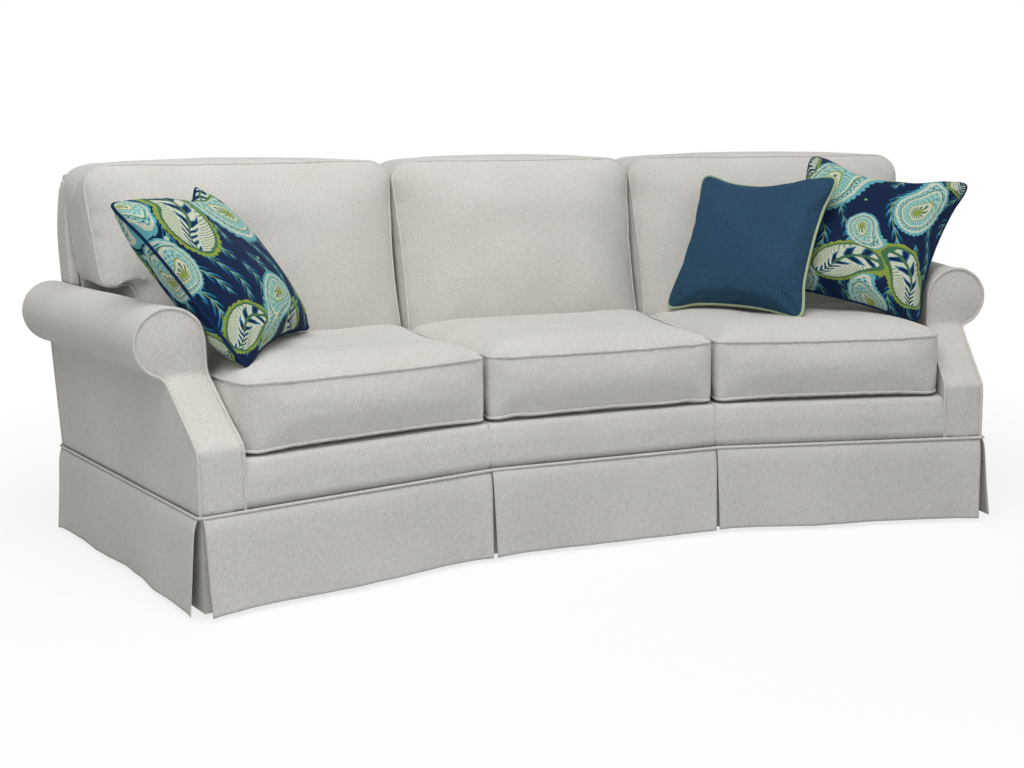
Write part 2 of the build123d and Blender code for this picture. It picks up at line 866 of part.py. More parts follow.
# The outside back: one flat panel a seat, its outer ones shaped to the arm and shoulder
panel_high = back_top - fold_down
outside_points = [
    (back_depth - cover, skirt_top),
    (back_depth, skirt_top),
    (outside_back(panel_high), panel_high),
    (outside_back(panel_high) - cover, panel_high),
]
corner_u = arm_u(back_depth, arm_thickness)
roll_u = arm_u(outside_back(roll_height), roll_offset)
with BuildPart() as outside_back_right:
    with BuildSketch(side_elevation):
        with BuildLine():
            Polyline(*box_points(-fold_reach, back_end, skirt_top, panel_high), close=True)
        make_face()
        with BuildLine():
            Polyline(*box_points(back_end, corner_u, skirt_top, roll_height), close=True)
        make_face()
        with Locations((roll_u, roll_height)):
            Circle(roll_radius)
        with BuildLine():
            draw_shoulder()
        make_face()
    extrude(amount=-back_reach)
    add(arm_body.part, mode=Mode.ADD)
    split(bisect_by=side_outside_back(0), keep=Keep.BOTTOM)
    split(bisect_by=side_outside_back(cover), keep=Keep.TOP)
    split(bisect_by=right_fold, keep=Keep.TOP)
    split(bisect_by=Plane.XY.offset(skirt_top), keep=Keep.TOP)

with BuildPart() as outside_back_panels:
    add(center_run(outside_points).part)
    add(outside_back_right.part)
    add(mirror(outside_back_right.part, about=Plane.YZ, mode=Mode.PRIVATE))
finish(outside_back_panels, "outside_back")

# The dust cover under the frame, cut around the legs
cover_sheet = 1.5
cover_inset = board / 2
with BuildPart() as dust_cover:
    with BuildSketch(Plane.XY.offset(rail_low)):
        front_edge = rail_face + cover_inset
        back_edge = back_rail_back - cover_inset
        with BuildLine():
            Polyline(
                (0, front_y + front_edge),
                (fold_x + front_edge * tan(radians(half_turn)), front_y + front_edge),
                on_side(arm_u(front_edge, side_board_out) - cover_inset, front_edge)[:2],
                on_side(arm_u(back_edge, side_board_out) - cover_inset, back_edge)[:2],
                (fold_x + back_edge * tan(radians(half_turn)), front_y + back_edge),
                (0, front_y + back_edge),
                close=True,
            )
        make_face()
    extrude(amount=-cover_sheet)
    with BuildSketch(*leg_planes(rail_low)):
        Rectangle(leg_top_width + wood_clearance, leg_top_width + wood_clearance)
    extrude(amount=-cover_sheet, mode=Mode.SUBTRACT)
    mirror(about=Plane.YZ)
finish(dust_cover, "dust_cover")

# Skirt panels hang from the welt and flare to the hem, with a few soft waves
hem_shares = (0.0, 0.22, 0.41, 0.63, 0.8, 1.0)
wave_shares = (0.9, -0.8, 1.0, -0.6, 0.8)
flare_shares = (1.0, 0.8, 1.05, 0.85, 1.1, 1.0)
top_wave_share = 0.08  # of the hem's waves, left where the panel is sewn on


def skirt_panel(start, end, outward, start_gap=pleat_gap, end_gap=pleat_gap):
    """One skirt panel between two points of the skirt line, seen in plan."""
    start, end = Vector(*start[:2]), Vector(*end[:2])
    run = (end - start).normalized()
    length = (end - start).length - start_gap - end_gap
    first = start + run * start_gap
    levels = ((skirt_top - skirt_heading, top_wave_share), (skirt_clearance, 1.0))
    with BuildPart() as panel:
        for height, share in levels:
            outer = [
                first + run * (length * along) + outward * (skirt_flare * flare * share)
                for along, flare in zip(hem_shares, flare_shares)
            ]
            inner = [point - outward * skirt_thickness for point in outer]
            pushes = [outward * (skirt_wave * wave * share) for wave in wave_shares]
            with BuildSketch(Plane.XY.offset(height)):
                with BuildLine():
                    for i, push in enumerate(pushes):
                        ThreePointArc(outer[i], (outer[i] + outer[i + 1]) / 2 + push, outer[i + 1])
                    Line(outer[-1], inner[-1])
                    for i, push in reversed(list(enumerate(pushes))):
                        ThreePointArc(inner[i + 1], (inner[i] + inner[i + 1]) / 2 + push, inner[i])
                    Line(inner[0], outer[0])
                make_face()
        loft(ruled=True)
    return panel


skirt_corner = on_side(side_length, 0)
back_corner = on_side(corner_u, back_depth)
back_fold = (fold_x + back_depth * tan(radians(half_turn)), front_y + back_depth)
fold_point = (fold_x, front_y)

skirt_front_center = skirt_panel((-fold_x, front_y), fold_point, Vector(0, -1))
finish(skirt_front_center, "skirt_front_center")
skirt_front_right = skirt_panel(fold_point, skirt_corner, -behind_side, end_gap=corner_gap)
finish(skirt_front_right, "skirt_front_right")
finish_left(skirt_front_right, "skirt_front_left")
skirt_side_right = skirt_panel(skirt_corner, back_corner, arm_out, corner_gap, corner_gap)
finish(skirt_side_right, "skirt_side_right")
finish_left(skirt_side_right, "skirt_side_left")

with BuildPart() as skirt_back:
    add(skirt_panel((-back_fold[0], back_fold[1]), back_fold, Vector(0, 1)).part)
    side_back_panel = skirt_panel(back_fold, back_corner, behind_side, end_gap=corner_gap).part
    add(side_back_panel)
    add(mirror(side_back_panel, about=Plane.YZ, mode=Mode.PRIVATE))
finish(skirt_back, "skirt_back")


flat_along = Vector(along_side.X, along_side.Y)
flat_behind = Vector(behind_side.X, behind_side.Y)
flat_arm_back = Vector(arm_back.X, arm_back.Y)
flat_arm_out = Vector(arm_out.X, arm_out.Y)
ahead, across = Vector(0, 1), Vector(1, 0)
# Each corner of the skirt's line: the ways its two sides leave it, and the ways into the base
skirt_corners = (
    (Vector(*fold_point), -across, flat_along, ahead, flat_behind),
    (Vector(*skirt_corner[:2]), -flat_along, flat_arm_back, flat_behind, -flat_arm_out),
    (Vector(*back_corner[:2]), -flat_arm_back, -flat_along, -flat_arm_out, -flat_behind),
    (Vector(*back_fold), flat_along, -across, -flat_behind, -ahead),
)


def inset_corner(corner, first_way, second_way, first_in, second_in, inset):
    """The corner of the lines that lie inside the skirt's line by an inset."""
    cross = first_way.X * second_way.Y - first_way.Y * second_way.X
    gap = (second_in - first_in) * inset
    reach = (gap.X * second_way.Y - gap.Y * second_way.X) / cross
    return corner + first_in * inset + first_way * reach


def pleat_insert(corner, first_way, second_way, first_in, second_in):
    """The strip behind an open pleat, bent at the corner, seen in plan."""
    outside = pleat_insert_setback
    inside = pleat_insert_setback + pleat_insert_thickness
    first_end = corner + first_way * pleat_insert_width
    second_end = corner + second_way * pleat_insert_width
    with BuildPart() as insert:
        with BuildSketch(Plane.XY.offset(skirt_clearance + pleat_insert_thickness)):
            with BuildLine():
                Polyline(
                    inset_corner(corner, first_way, second_way, first_in, second_in, outside),
                    first_end + first_in * outside,
                    first_end + first_in * inside,
                    inset_corner(corner, first_way, second_way, first_in, second_in, inside),
                    second_end + second_in * inside,
                    second_end + second_in * outside,
                    close=True,
                )
            make_face()
        extrude(amount=skirt_drop - sewn_gap - pleat_insert_thickness)
    return insert.part


with BuildPart() as pleat_inserts:
    for skirt_turn in skirt_corners:
        add(pleat_insert(*skirt_turn))
    mirror(about=Plane.YZ)
finish(pleat_inserts, "pleat_inserts")

with BuildPart() as skirt_welt:
    welt_outset = welt_radius + welt_clearance
    welt_half = [inset_corner(*skirt_turn, -welt_outset) for skirt_turn in skirt_corners]
    welt_line = [(point.X, point.Y, skirt_top) for point in welt_half]
    mirrored = [(-x, y, height) for x, y, height in reversed(welt_line)]
    with BuildLine():
        welt_path = Polyline(*welt_line, *mirrored, close=True)
    with BuildSketch(Plane(origin=welt_path @ 0, z_dir=welt_path % 0)):
        Circle(welt_radius)
    sweep(path=welt_path, transition=Transition.RIGHT)
finish(skirt_welt, "skirt_welt")


def draw_bulged(points, bulges):
    """A closed outline through points, each side bowed outwards by its bulge."""
    for i, bulge in enumerate(bulges):
        start = Vector(*points[i])
        end = Vector(*points[(i + 1) % len(points)])
        run = (end - start).normalized()
        middle = (start + end) / 2 + Vector(run.Y, -run.X) * bulge
        ThreePointArc(start, middle, end)


def shrunk(points, share):
    """The points drawn in towards their middle."""
    low_x, high_x = min(p[0] for p in points), max(p[0] for p in points)
    low_y, high_y = min(p[1] for p in points), max(p[1] for p in points)
    mid_x, mid_y = (low_x + high_x) / 2, (low_y + high_y) / 2
    return [(mid_x + (x - mid_x) * share, mid_y + (y - mid_y) * share) for x, y in points]


# Seat cushions: a boxed body with a crowned top
crown_shares = ((1.0, 0.0), (0.96, 0.34), (0.86, 0.66), (0.7, 0.88), (0.48, 0.985), (0.24, 1.0))
foot_share = 0.985
seat_low = deck_top + soft_gap
seat_welt_low = seat_low + seat_foot
seat_welt_high = seat_welt_low + seat_boxing


def seat_cushion(plane, points, bulges):
    """A seat cushion on this plane, whose x and y are along and behind its front."""
    with BuildPart() as cushion:
        with BuildSketch(plane.offset(seat_low)):
            with BuildLine():
                draw_bulged(shrunk(points, foot_share), bulges)
            make_face()
        with BuildSketch(plane.offset(seat_welt_low)):
            with BuildLine():
                draw_bulged(points, bulges)
            make_face()
        with BuildSketch(plane.offset(seat_welt_low + seat_boxing / 2)):
            with BuildLine():
                draw_bulged(points, [bulges[0] + seat_bulge, *bulges[1:]])
            make_face()
        with BuildSketch(plane.offset(seat_welt_high)):
            with BuildLine():
                draw_bulged(points, bulges)
            make_face()
        loft(ruled=True)
        for share, rise in crown_shares:
            with BuildSketch(plane.offset(seat_welt_high + seat_crown * rise)):
                with BuildLine():
                    draw_bulged(shrunk(points, share), [bulge * share for bulge in bulges])
                make_face()
        loft()
    return cushion


seat_back = inside_back_depth - back_cushion_depth - seat_back_gap
fold_drift = tan(radians(half_turn))
center_level = Plane(origin=(0, front_y, 0))
side_level = Plane(origin=on_side(0, 0), x_dir=along_side, z_dir=up)
front_half = fold_x + seat_front_inset * fold_drift - cushion_gap
back_half = fold_x + seat_back * fold_drift - cushion_gap
seat_cushion_center = seat_cushion(
    center_level,
    [
        (-front_half, seat_front_inset),
        (front_half, seat_front_inset),
        (back_half, seat_back),
        (-back_half, seat_back),
    ],
    [seat_bulge, -seat_waist, -seat_waist, -seat_waist],
)
finish(seat_cushion_center, "seat_cushion_center")

seat_outer_front = arm_u(seat_front_inset) - cushion_gap
seat_outer_back = arm_u(seat_back) - cushion_gap
corner_chord = seat_corner * (sqrt(2) - 1) / 2
seat_cushion_right = seat_cushion(
    side_level,
    [
        (cushion_gap - seat_front_inset * fold_drift, seat_front_inset),
        (seat_outer_front - seat_corner, seat_front_inset),
        (arm_u(seat_front_inset + seat_corner) - cushion_gap, seat_front_inset + seat_corner),
        (seat_outer_back, seat_back),
        (cushion_gap - seat_back * fold_drift, seat_back),
    ],
    [seat_bulge, corner_chord, -seat_waist, -seat_waist, -seat_waist],
)
finish(seat_cushion_right, "seat_cushion_right")
finish_left(seat_cushion_right, "seat_cushion_left")

# Back cushions stand on the deck behind the seat cushions and lean on the inside back
cushion_low = soft_gap * 2


def lean_plane(origin, along, behind):
    """The inside back's plane: x along the seat, y up the back, facing the front."""
    facing = up * sin(radians(inside_lean)) - behind * cos(radians(inside_lean))
    return Plane(origin=origin, x_dir=along, z_dir=facing)


def depth_at(forward, rise):
    """Depth behind the front line of a point forward of the inside back and up along it."""
    lean = radians(inside_lean)
    return inside_back_depth + rise * sin(lean) - forward * cos(lean)


def rise_at(height, forward):
    """How far up the lean a height is, at a distance forward of the inside back."""
    lean = radians(inside_lean)
    return (height - deck_top - forward * sin(lean)) / cos(lean)


seam_slope = tan(radians(back_seam_turn))
back_seam_depth = seat_back + back_seam_step
back_seam_half = fold_x + back_seam_depth * fold_drift - back_seam_inset


def center_seam(forward, rise):
    """Half width of the middle back cushion at a point of its side."""
    return back_seam_half + (depth_at(forward, rise) - back_seam_depth) * seam_slope - cushion_gap


def side_seam(forward, rise):
    """Where the side back cushion begins, along its seat's front."""
    s = depth_at(forward, rise)
    lead = back_seam_half - back_seam_depth * seam_slope - fold_x
    drift = sin(radians(turn)) - seam_slope * cos(radians(turn))
    return (lead - s * drift) / (cos(radians(turn)) + seam_slope * sin(radians(turn))) + cushion_gap


def low_rise(forward):
    """The lowest point of a back cushion above the deck."""
    return rise_at(deck_top + cushion_low, forward)


def center_back_points(forward, inset):
    """The middle back cushion's outline at a distance forward of the inside back."""
    low = low_rise(forward) + inset
    high = rise_at(back_cushion_top, forward) - inset
    top_side = high - back_cushion_corner
    foot_side = low + back_foot_corner
    return [
        (-center_seam(forward, low) + inset + back_foot_corner, low),
        (center_seam(forward, low) - inset - back_foot_corner, low),
        (center_seam(forward, foot_side) - inset, foot_side),
        (center_seam(forward, top_side) - inset, top_side),
        (center_seam(forward, high) - inset - back_cushion_corner, high),
        (-center_seam(forward, high) + inset + back_cushion_corner, high),
        (-center_seam(forward, top_side) + inset, top_side),
        (-center_seam(forward, foot_side) + inset, foot_side),
    ]


def side_back_points(forward, inset):
    """The right back cushion's outline, with its ear over the arm."""
    low = low_rise(forward) + inset
    high = rise_at(back_cushion_top, forward) - inset
    top_side = high - back_cushion_corner
    foot_side = low + back_foot_corner
    ear = rise_at(ear_height, forward)
    ear_u = arm_u(inside_back(ear_height)) + ear_reach - inset
    return [
        (side_seam(forward, low) + inset + back_foot_corner, low),
        (arm_u(depth_at(forward, low)) - cushion_gap - inset, low),
        (arm_u(depth_at(forward, ear)) - cushion_gap - inset, ear),
        (ear_u - back_edge_round, ear),
        (ear_u, top_side),
        (ear_u - back_cushion_corner, high),
        (side_seam(forward, high) + inset + back_cushion_corner, high),
        (side_seam(forward, top_side) + inset, top_side),
        (side_seam(forward, foot_side) + inset, foot_side),
    ]


round_bulge = back_cushion_corner * (sqrt(2) - 1) / 2
foot_bulge = back_foot_corner * (sqrt(2) - 1) / 2
center_back_bulges = [0.1, foot_bulge, -seat_waist, round_bulge, back_border_crown / 2, round_bulge,
                      -seat_waist, foot_bulge]
side_back_bulges = [0.1, -seat_waist, -0.1, back_edge_round / 4, round_bulge, back_border_crown / 2,
                    round_bulge, -seat_waist, foot_bulge]
back_levels = (
    (soft_gap, back_edge_round),
    (back_edge_round, soft_gap),
    (back_cushion_depth / 2, -soft_gap),
    (back_cushion_depth, 0.0),
)


def back_cushion(plane, outline, bulges, top_edge, seat_edge):
    """A back cushion built forward from the inside back, flat where the seat cushion meets it."""
    with BuildPart() as cushion:
        for forward, inset in back_levels:
            level_bulges = list(bulges)
            if forward == back_cushion_depth / 2:
                level_bulges[top_edge] += back_border_crown
            with BuildSketch(plane.offset(forward)):
                with BuildLine():
                    draw_bulged(outline(forward, inset), level_bulges)
                make_face()
        loft(ruled=True)
        for share, rise in crown_shares:
            forward = back_cushion_depth + back_cushion_crown * rise
            with BuildSketch(plane.offset(forward)):
                with BuildLine():
                    points = shrunk(outline(back_cushion_depth, 0.0), share)
                    draw_bulged(points, [bulge * share for bulge in bulges])
                make_face()
        loft()
        split(bisect_by=seat_edge, keep=Keep.TOP)
    return cushion


seat_clear = seat_back + cushion_gap
center_lean = lean_plane((0, front_y + inside_back_depth, deck_top), Vector(1, 0, 0), Vector(0, 1, 0))
side_lean = lean_plane(on_side(0, inside_back_depth, deck_top), along_side, behind_side)
center_seat_edge = Plane(origin=(0, front_y + seat_clear, 0), x_dir=(1, 0, 0), z_dir=(0, 1, 0))
back_cushion_center = back_cushion(
    center_lean, center_back_points, center_back_bulges, 4, center_seat_edge
)
finish(back_cushion_center, "back_cushion_center")

with BuildPart() as back_cushion_right:
    side_seat_edge = side_across(seat_clear)
    add(back_cushion(side_lean, side_back_points, side_back_bulges, 5, side_seat_edge).part)
    split(bisect_by=center_lean.offset(soft_gap), keep=Keep.TOP)
finish(back_cushion_right, "back_cushion_right")
finish_left(back_cushion_right, "back_cushion_left")

# Throw pillows lean on the back cushions and arms
section_shares = (-1.0, -0.86, -0.5, 0.0, 0.5, 0.86, 1.0)


def pillow(hand, shares, lift, turns, side, loft_size):
    """A knife-edge pillow leaning on the right (hand 1) or left (hand -1) side seat."""
    foot_u = arm_u(0) * shares[0] - (arm_neck_height - seat_high) * pillow_neck_share
    x, y, height = on_side(foot_u, seat_back * shares[1], seat_high + lift)
    turned, risen, lean = [radians(angle) for angle in turns]
    edge = Vector(cos(turned) * cos(risen), sin(turned) * cos(risen), sin(risen))
    upright = Vector(-cos(turned) * sin(risen), -sin(turned) * sin(risen), cos(risen))
    back = Vector(-sin(turned), cos(turned), 0)
    rise = upright * cos(lean) + back * sin(lean)
    half = side / 2
    middle = Vector(x * hand, y, height) + rise * half
    with BuildPart() as piece:
        for share in section_shares:
            fullness = (1 - share**2) ** 0.6
            reach = half - pillow_waist * (1 - share**2)
            thick = pillow_edge + (loft_size / 2 - pillow_edge) * fullness
            with BuildSketch(Plane(origin=middle + edge * (half * share), x_dir=rise, z_dir=edge)):
                with BuildLine():
                    ThreePointArc((-reach, 0), (0, thick), (reach, 0))
                    ThreePointArc((reach, 0), (0, -thick), (-reach, 0))
                make_face()
        loft()
    return piece


seat_high = seat_welt_high + seat_crown
pillow_left = pillow(
    -1, left_pillow_shares, left_pillow_lift, left_pillow_turns, print_pillow_side, print_pillow_loft
)
finish(pillow_left, "pillow_left")
pillow_right = pillow(
    1, right_pillow_shares, right_pillow_lift, right_pillow_turns, print_pillow_side, print_pillow_loft
)
finish(pillow_right, "pillow_right")
pillow_plain = pillow(
    1, plain_pillow_shares, plain_pillow_lift, plain_pillow_turns, plain_pillow_side, plain_pillow_loft
)
finish(pillow_plain, "pillow_plain")
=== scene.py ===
"""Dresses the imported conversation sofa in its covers, cushions, skirt and pillows, in metres."""

import json
from math import atan2, cos, hypot, pi, radians, sin

import bmesh
import bpy
from mathutils import Matrix, Vector, noise
from mathutils.bvhtree import BVHTree
from mathutils.kdtree import KDTree


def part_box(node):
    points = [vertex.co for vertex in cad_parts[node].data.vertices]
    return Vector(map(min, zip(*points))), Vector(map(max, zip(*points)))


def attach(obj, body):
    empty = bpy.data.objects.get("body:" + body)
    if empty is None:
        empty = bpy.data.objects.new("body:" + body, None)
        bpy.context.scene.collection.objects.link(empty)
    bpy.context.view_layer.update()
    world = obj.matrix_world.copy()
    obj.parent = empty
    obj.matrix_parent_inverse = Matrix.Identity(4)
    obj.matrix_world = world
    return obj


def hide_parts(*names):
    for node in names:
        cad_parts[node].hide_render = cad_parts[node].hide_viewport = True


bl_info = {
    "name": "Conversation sofa dresser",
    "version": (1, 0, 0),
    "blender": (4, 5, 0),
    "location": "View3D > Sidebar > Sofa",
    "description": "Covers, cushions, skirt, pillows and studio for a concave conversation sofa",
    "category": "Object",
}

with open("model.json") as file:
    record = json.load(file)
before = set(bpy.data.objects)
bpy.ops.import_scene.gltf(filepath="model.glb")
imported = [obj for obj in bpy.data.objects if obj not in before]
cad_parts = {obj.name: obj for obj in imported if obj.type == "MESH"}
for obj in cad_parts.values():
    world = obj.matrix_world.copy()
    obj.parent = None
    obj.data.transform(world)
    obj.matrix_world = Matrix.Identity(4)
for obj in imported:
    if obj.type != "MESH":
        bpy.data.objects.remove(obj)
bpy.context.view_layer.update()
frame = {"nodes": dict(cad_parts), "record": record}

HANDS = {"left": -1, "right": 1}
SEATS = {"left": -1, "center": 0, "right": 1}
TURN = radians(13)  # how far each side seat turns forward
LEAN = radians(14.5)  # how far the back cushions lean
FRONT = -0.3917  # the middle seat's front line
FOLD = 0.288  # half the middle seat's front
INSIDE_BACK = 0.728  # front line to the inside back, at the deck
DECK_TOP = 0.316
UP = Vector((0, 0, 1))


def seat_axes(hand):
    """The ways along and behind the front of the seat on one side."""
    along = Vector((cos(TURN * hand), -sin(TURN * hand), 0))
    return along, Vector((sin(TURN * hand), cos(TURN * hand), 0))


def seat_origin(hand):
    """Where the front line of one seat begins: at its fold, or at the middle."""
    return Vector((FOLD * hand, FRONT, 0))


# Sizes and colours that a user would change


def number(name, description, default, unit="LENGTH", subtype="NONE"):
    """A setting of one number, a length in metres unless its unit says otherwise."""
    return bpy.props.FloatProperty(
        name=name, description=description, default=default, unit=unit, subtype=subtype)


def dye(name, description, *color):
    """The colour of a yarn or a print."""
    return bpy.props.FloatVectorProperty(
        name=name, description=description, subtype="COLOR", size=4, default=(*color, 1))


class SofaSizes(bpy.types.PropertyGroup):
    """Sizes of the soft pieces."""

    cushion_voxel: number("Cushion mesh", "Size of the cushions' mesh before smoothing", 0.009)
    arm_voxel: number("Arm mesh", "Size of the arms' mesh before smoothing", 0.006)
    pressure: number("Filling pressure", "Pressure that swells the cushions", 3.0, "NONE")
    welt_radius: number("Welt radius", "Radius of the cord sewn into the seams", 0.0038)
    skirt_clearance: number("Skirt clearance", "Height of the hem above the floor", 0.010)
    skirt_flare: number("Skirt flare", "How far the hem stands out", 0.013)
    pillow_side: number("Printed pillow", "Side of the printed pillows", 0.462)
    pillow_loft: number("Printed pillow loft", "Thickness of the printed pillows", 0.15)
    plain_side: number("Plain pillow", "Side of the plain pillow", 0.432)
    plain_loft: number("Plain pillow loft", "Thickness of the plain pillow", 0.13)


class SofaColors(bpy.types.PropertyGroup):
    """Colours of the fabrics."""

    linen_light: dye("Linen light", "Light threads of the sofa's linen", 0.71, 0.69, 0.655)
    linen_dark: dye("Linen dark", "Dark threads of the sofa's linen", 0.53, 0.51, 0.475)
    teal: dye("Teal", "The plain pillow", 0.014, 0.044, 0.086)
    teal_light: dye("Teal light", "Light threads of the plain pillow", 0.038, 0.092, 0.158)
    celery: dye("Celery", "The plain pillow's welt", 0.45, 0.55, 0.33)
    navy: dye("Navy", "Ground of the printed pillows", 0.005, 0.016, 0.052)
    aqua: dye("Aqua", "Light blue of the print", 0.13, 0.42, 0.46)
    mint: dye("Mint", "Pale green of the print", 0.36, 0.60, 0.50)
    lime: dye("Lime", "Yellow green of the print", 0.25, 0.34, 0.05)
    cream: dye("Cream", "Pale ground of the print's leaves", 0.60, 0.64, 0.49)
    green: dye("Green", "Dark green of the print's lines", 0.06, 0.16, 0.075)
    blue: dye("Blue", "Mid blue of the print's sprigs", 0.012, 0.13, 0.26)


class SofaStudio(bpy.types.PropertyGroup):
    """Camera and lamps."""

    camera_place: bpy.props.FloatVectorProperty(
        name="Camera", description="Where the camera stands", subtype="TRANSLATION", size=3,
        default=(-1.1739, -3.0866, 0.9349))
    camera_turn: number("Turn", "Turn to the right", 0.3471, "NONE", "ANGLE")
    camera_tilt: number("Tilt", "Tilt downwards", 0.1224, "NONE", "ANGLE")
    camera_roll: number("Roll", "Roll to the left", -0.0102, "NONE", "ANGLE")
    lens: number("Lens", "Focal length in millimetres", 44.78, "NONE")
    shift: bpy.props.FloatVectorProperty(
        name="Shift", description="Lens shift, as a share of the width", size=2,
        default=(-0.0136, -0.0759))
    key: number("Key lamp", "Power of the large lamp above", 128.0, "POWER")
    fill: number("Fill lamp", "Power of the lamp near the camera", 20.0, "POWER")
    side: number("Side light", "Strength of the wide light from the front right", 0.5, "NONE")
    sky: number("Surroundings", "Level of the light from all round", 0.28, "NONE")


# Mesh helpers


WELD = 1e-5  # points nearer than this are one
ON_LEVEL = 4e-4  # points this near a level lie on it


def new_piece(name, data):
    """Put a mesh, curve, lamp or camera into the scene."""
    piece = bpy.data.objects.new(name, data)
    bpy.context.scene.collection.objects.link(piece)
    return piece


def formed_piece(name, form):
    """Put a bmesh into the scene as a piece, and free it."""
    mesh = bpy.data.meshes.new(name)
    form.to_mesh(mesh)
    form.free()
    return new_piece(name, mesh)


def smooth_shaded(piece):
    """Shade the whole piece smooth."""
    piece.data.polygons.foreach_set("use_smooth", [True] * len(piece.data.polygons))
    return piece


def node_bmesh(*nodes):
    """The meshes of these frame nodes in one bmesh, with the points that meet joined."""
    form = bmesh.new()
    for node in nodes:
        form.from_mesh(frame["nodes"][node].data)
    bmesh.ops.remove_doubles(form, verts=form.verts, dist=WELD)
    return form


def copy_nodes(name, *nodes):
    """A new piece with the meshes of these frame nodes."""
    return formed_piece(name, node_bmesh(*nodes))


def with_modifier(piece, kind, **settings):
    """Add a modifier, apply it and drop the old mesh."""
    modifier = piece.modifiers.new(kind.lower(), kind)
    for key, value in settings.items():
        setattr(modifier, key, value)
    return applied(piece)


def applied(piece):
    """Replace the piece's mesh by what its modifiers make of it."""
    graph = bpy.context.evaluated_depsgraph_get()
    mesh = bpy.data.meshes.new_from_object(piece.evaluated_get(graph))
    old = piece.data
    piece.modifiers.clear()
    piece.data = mesh
    bpy.data.meshes.remove(old)
    return piece


def softened(piece, rounds, **settings):
    """Smooth a piece in a number of rounds."""
    return with_modifier(piece, "SMOOTH", factor=0.5, iterations=rounds, **settings)


def remeshed(piece, voxel, rounds):
    """One closed skin over the piece's solids, its edges softened."""
    with_modifier(piece, "REMESH", mode="VOXEL", voxel_size=voxel)
    return softened(piece, rounds)


def surface_of(piece):
    """A search tree over a piece's faces."""
    mesh = piece.data
    return BVHTree.FromPolygons(
        [v.co for v in mesh.vertices], [tuple(p.vertices) for p in mesh.polygons])


CLOTH_QUALITY = 4
CLOTH_STIFFNESS = 25


def swollen(piece, pressure, proud, kept=0.5, start=0.004, grown=0.024, steps=15, bend=1.5):
    """Swell a piece with cloth and keep a share of how it moved, up to proud along its normal."""
    softened(piece, 1)
    before = [(vertex.co.copy(), vertex.normal.copy()) for vertex in piece.data.vertices]
    with_modifier(piece, "DISPLACE", strength=-start, mid_level=0)
    cloth = piece.modifiers.new("filling", "CLOTH")
    cloth.settings.use_pressure = True
    cloth.settings.uniform_pressure_force = pressure
    cloth.settings.effector_weights.gravity = 0
    cloth.settings.quality = CLOTH_QUALITY
    cloth.settings.tension_stiffness = CLOTH_STIFFNESS
    cloth.settings.compression_stiffness = CLOTH_STIFFNESS
    cloth.settings.bending_stiffness = bend
    cloth.collision_settings.use_collision = False
    scene = bpy.context.scene
    for step in range(1, steps + 1):
        scene.frame_set(step)
    applied(piece)
    scene.frame_set(1)
    for vertex, (place, normal) in zip(piece.data.vertices, before):
        move = (vertex.co - place) * kept
        out = move.dot(normal)
        move += normal * (min(out, proud(place, normal)) - out)
        if move.length > grown:
            move *= grown / move.length
        vertex.co = place + move
    return piece


def calmed(piece, rounds, weight):
    """Smooth a piece by a weight for each place and normal."""
    group = piece.vertex_groups.new(name="calm")
    for vertex in piece.data.vertices:
        group.add([vertex.index], weight(vertex.co, vertex.normal), "REPLACE")
    softened(piece, rounds, vertex_group="calm")
    piece.vertex_groups.clear()


def level_ring(form, on_level):
    """The line of edges of a bmesh whose ends are on a level, and whether it closes."""
    edges = [e for e in form.edges if on_level(e.verts[0].co) and on_level(e.verts[1].co)]
    return longest_chain(edges)


def node_rings(node, height, levels):
    """The lines round a node's solid at some levels of a height."""
    form = node_bmesh(node)
    rings = [
        level_ring(form, lambda co, level=level: abs(height(co) - level) < ON_LEVEL)
        for level in levels]
    form.free()
    return rings


def longest_chain(edges):
    """Join edges end to end and return the longest line of points, and whether it closes."""
    links = {}
    for edge in edges:
        for vertex in edge.verts:
            links.setdefault(vertex, []).append(edge)
    used = set()
    best, best_closed = [], False
    starts = [v for v in links if len(links[v]) == 1] + list(links)
    for start in starts:
        line = [start]
        while True:
            onward = [e for e in links[line[-1]] if e not in used]
            if not onward:
                break
            used.add(onward[0])
            line.append(onward[0].other_vert(line[-1]))
        if len(line) > len(best):
            best, best_closed = line, line[0] == line[-1]
    points = [vertex.co.copy() for vertex in best]
    return (points[:-1] if best_closed else points), best_closed


def evened(points, step, closed, rounds=1):
    """The same line with points a step apart, its corners eased."""
    line = points + points[:1] if closed else points
    lengths = [0.0]
    for a, b in zip(line, line[1:]):
        lengths.append(lengths[-1] + (b - a).length)
    count = max(4, round(lengths[-1] / step))
    even, index = [], 0
    for i in range(count if closed else count + 1):
        want = lengths[-1] * i / count
        while index < len(lengths) - 2 and lengths[index + 1] < want:
            index += 1
        span = lengths[index + 1] - lengths[index] or 1
        even.append(line[index].lerp(line[index + 1], min(1, (want - lengths[index]) / span)))
    for _ in range(rounds):
        before = even[-1:] + even[:-1]
        after = even[1:] + even[:1]
        eased = [b * 0.25 + p * 0.5 + a * 0.25 for b, p, a in zip(before, even, after)]
        if not closed:
            eased[0], eased[-1] = even[0], even[-1]
        even = eased
    return even


def laid_on(tree, points, lift):
    """Points moved to the nearest place on a surface and out of it by lift."""
    laid = []
    for point in points:
        place, normal, _, gap = tree.find_nearest(point)
        out = point - place
        way = out.normalized() if gap > lift and out.dot(normal) > 0 else normal
        laid.append(place + way * lift)
    return laid


def cord_along(name, points, radius, closed):
    """A welt: a round cord along a line of points."""
    curve = bpy.data.curves.new(name, "CURVE")
    curve.dimensions = "3D"
    curve.bevel_depth = radius
    curve.bevel_resolution = 3
    curve.use_fill_caps = not closed
    spline = curve.splines.new("POLY")
    spline.points.add(len(points) - 1)
    for target, point in zip(spline.points, points):
        target.co = (*point, 1)
    spline.use_cyclic_u = closed
    return new_piece(name, curve)


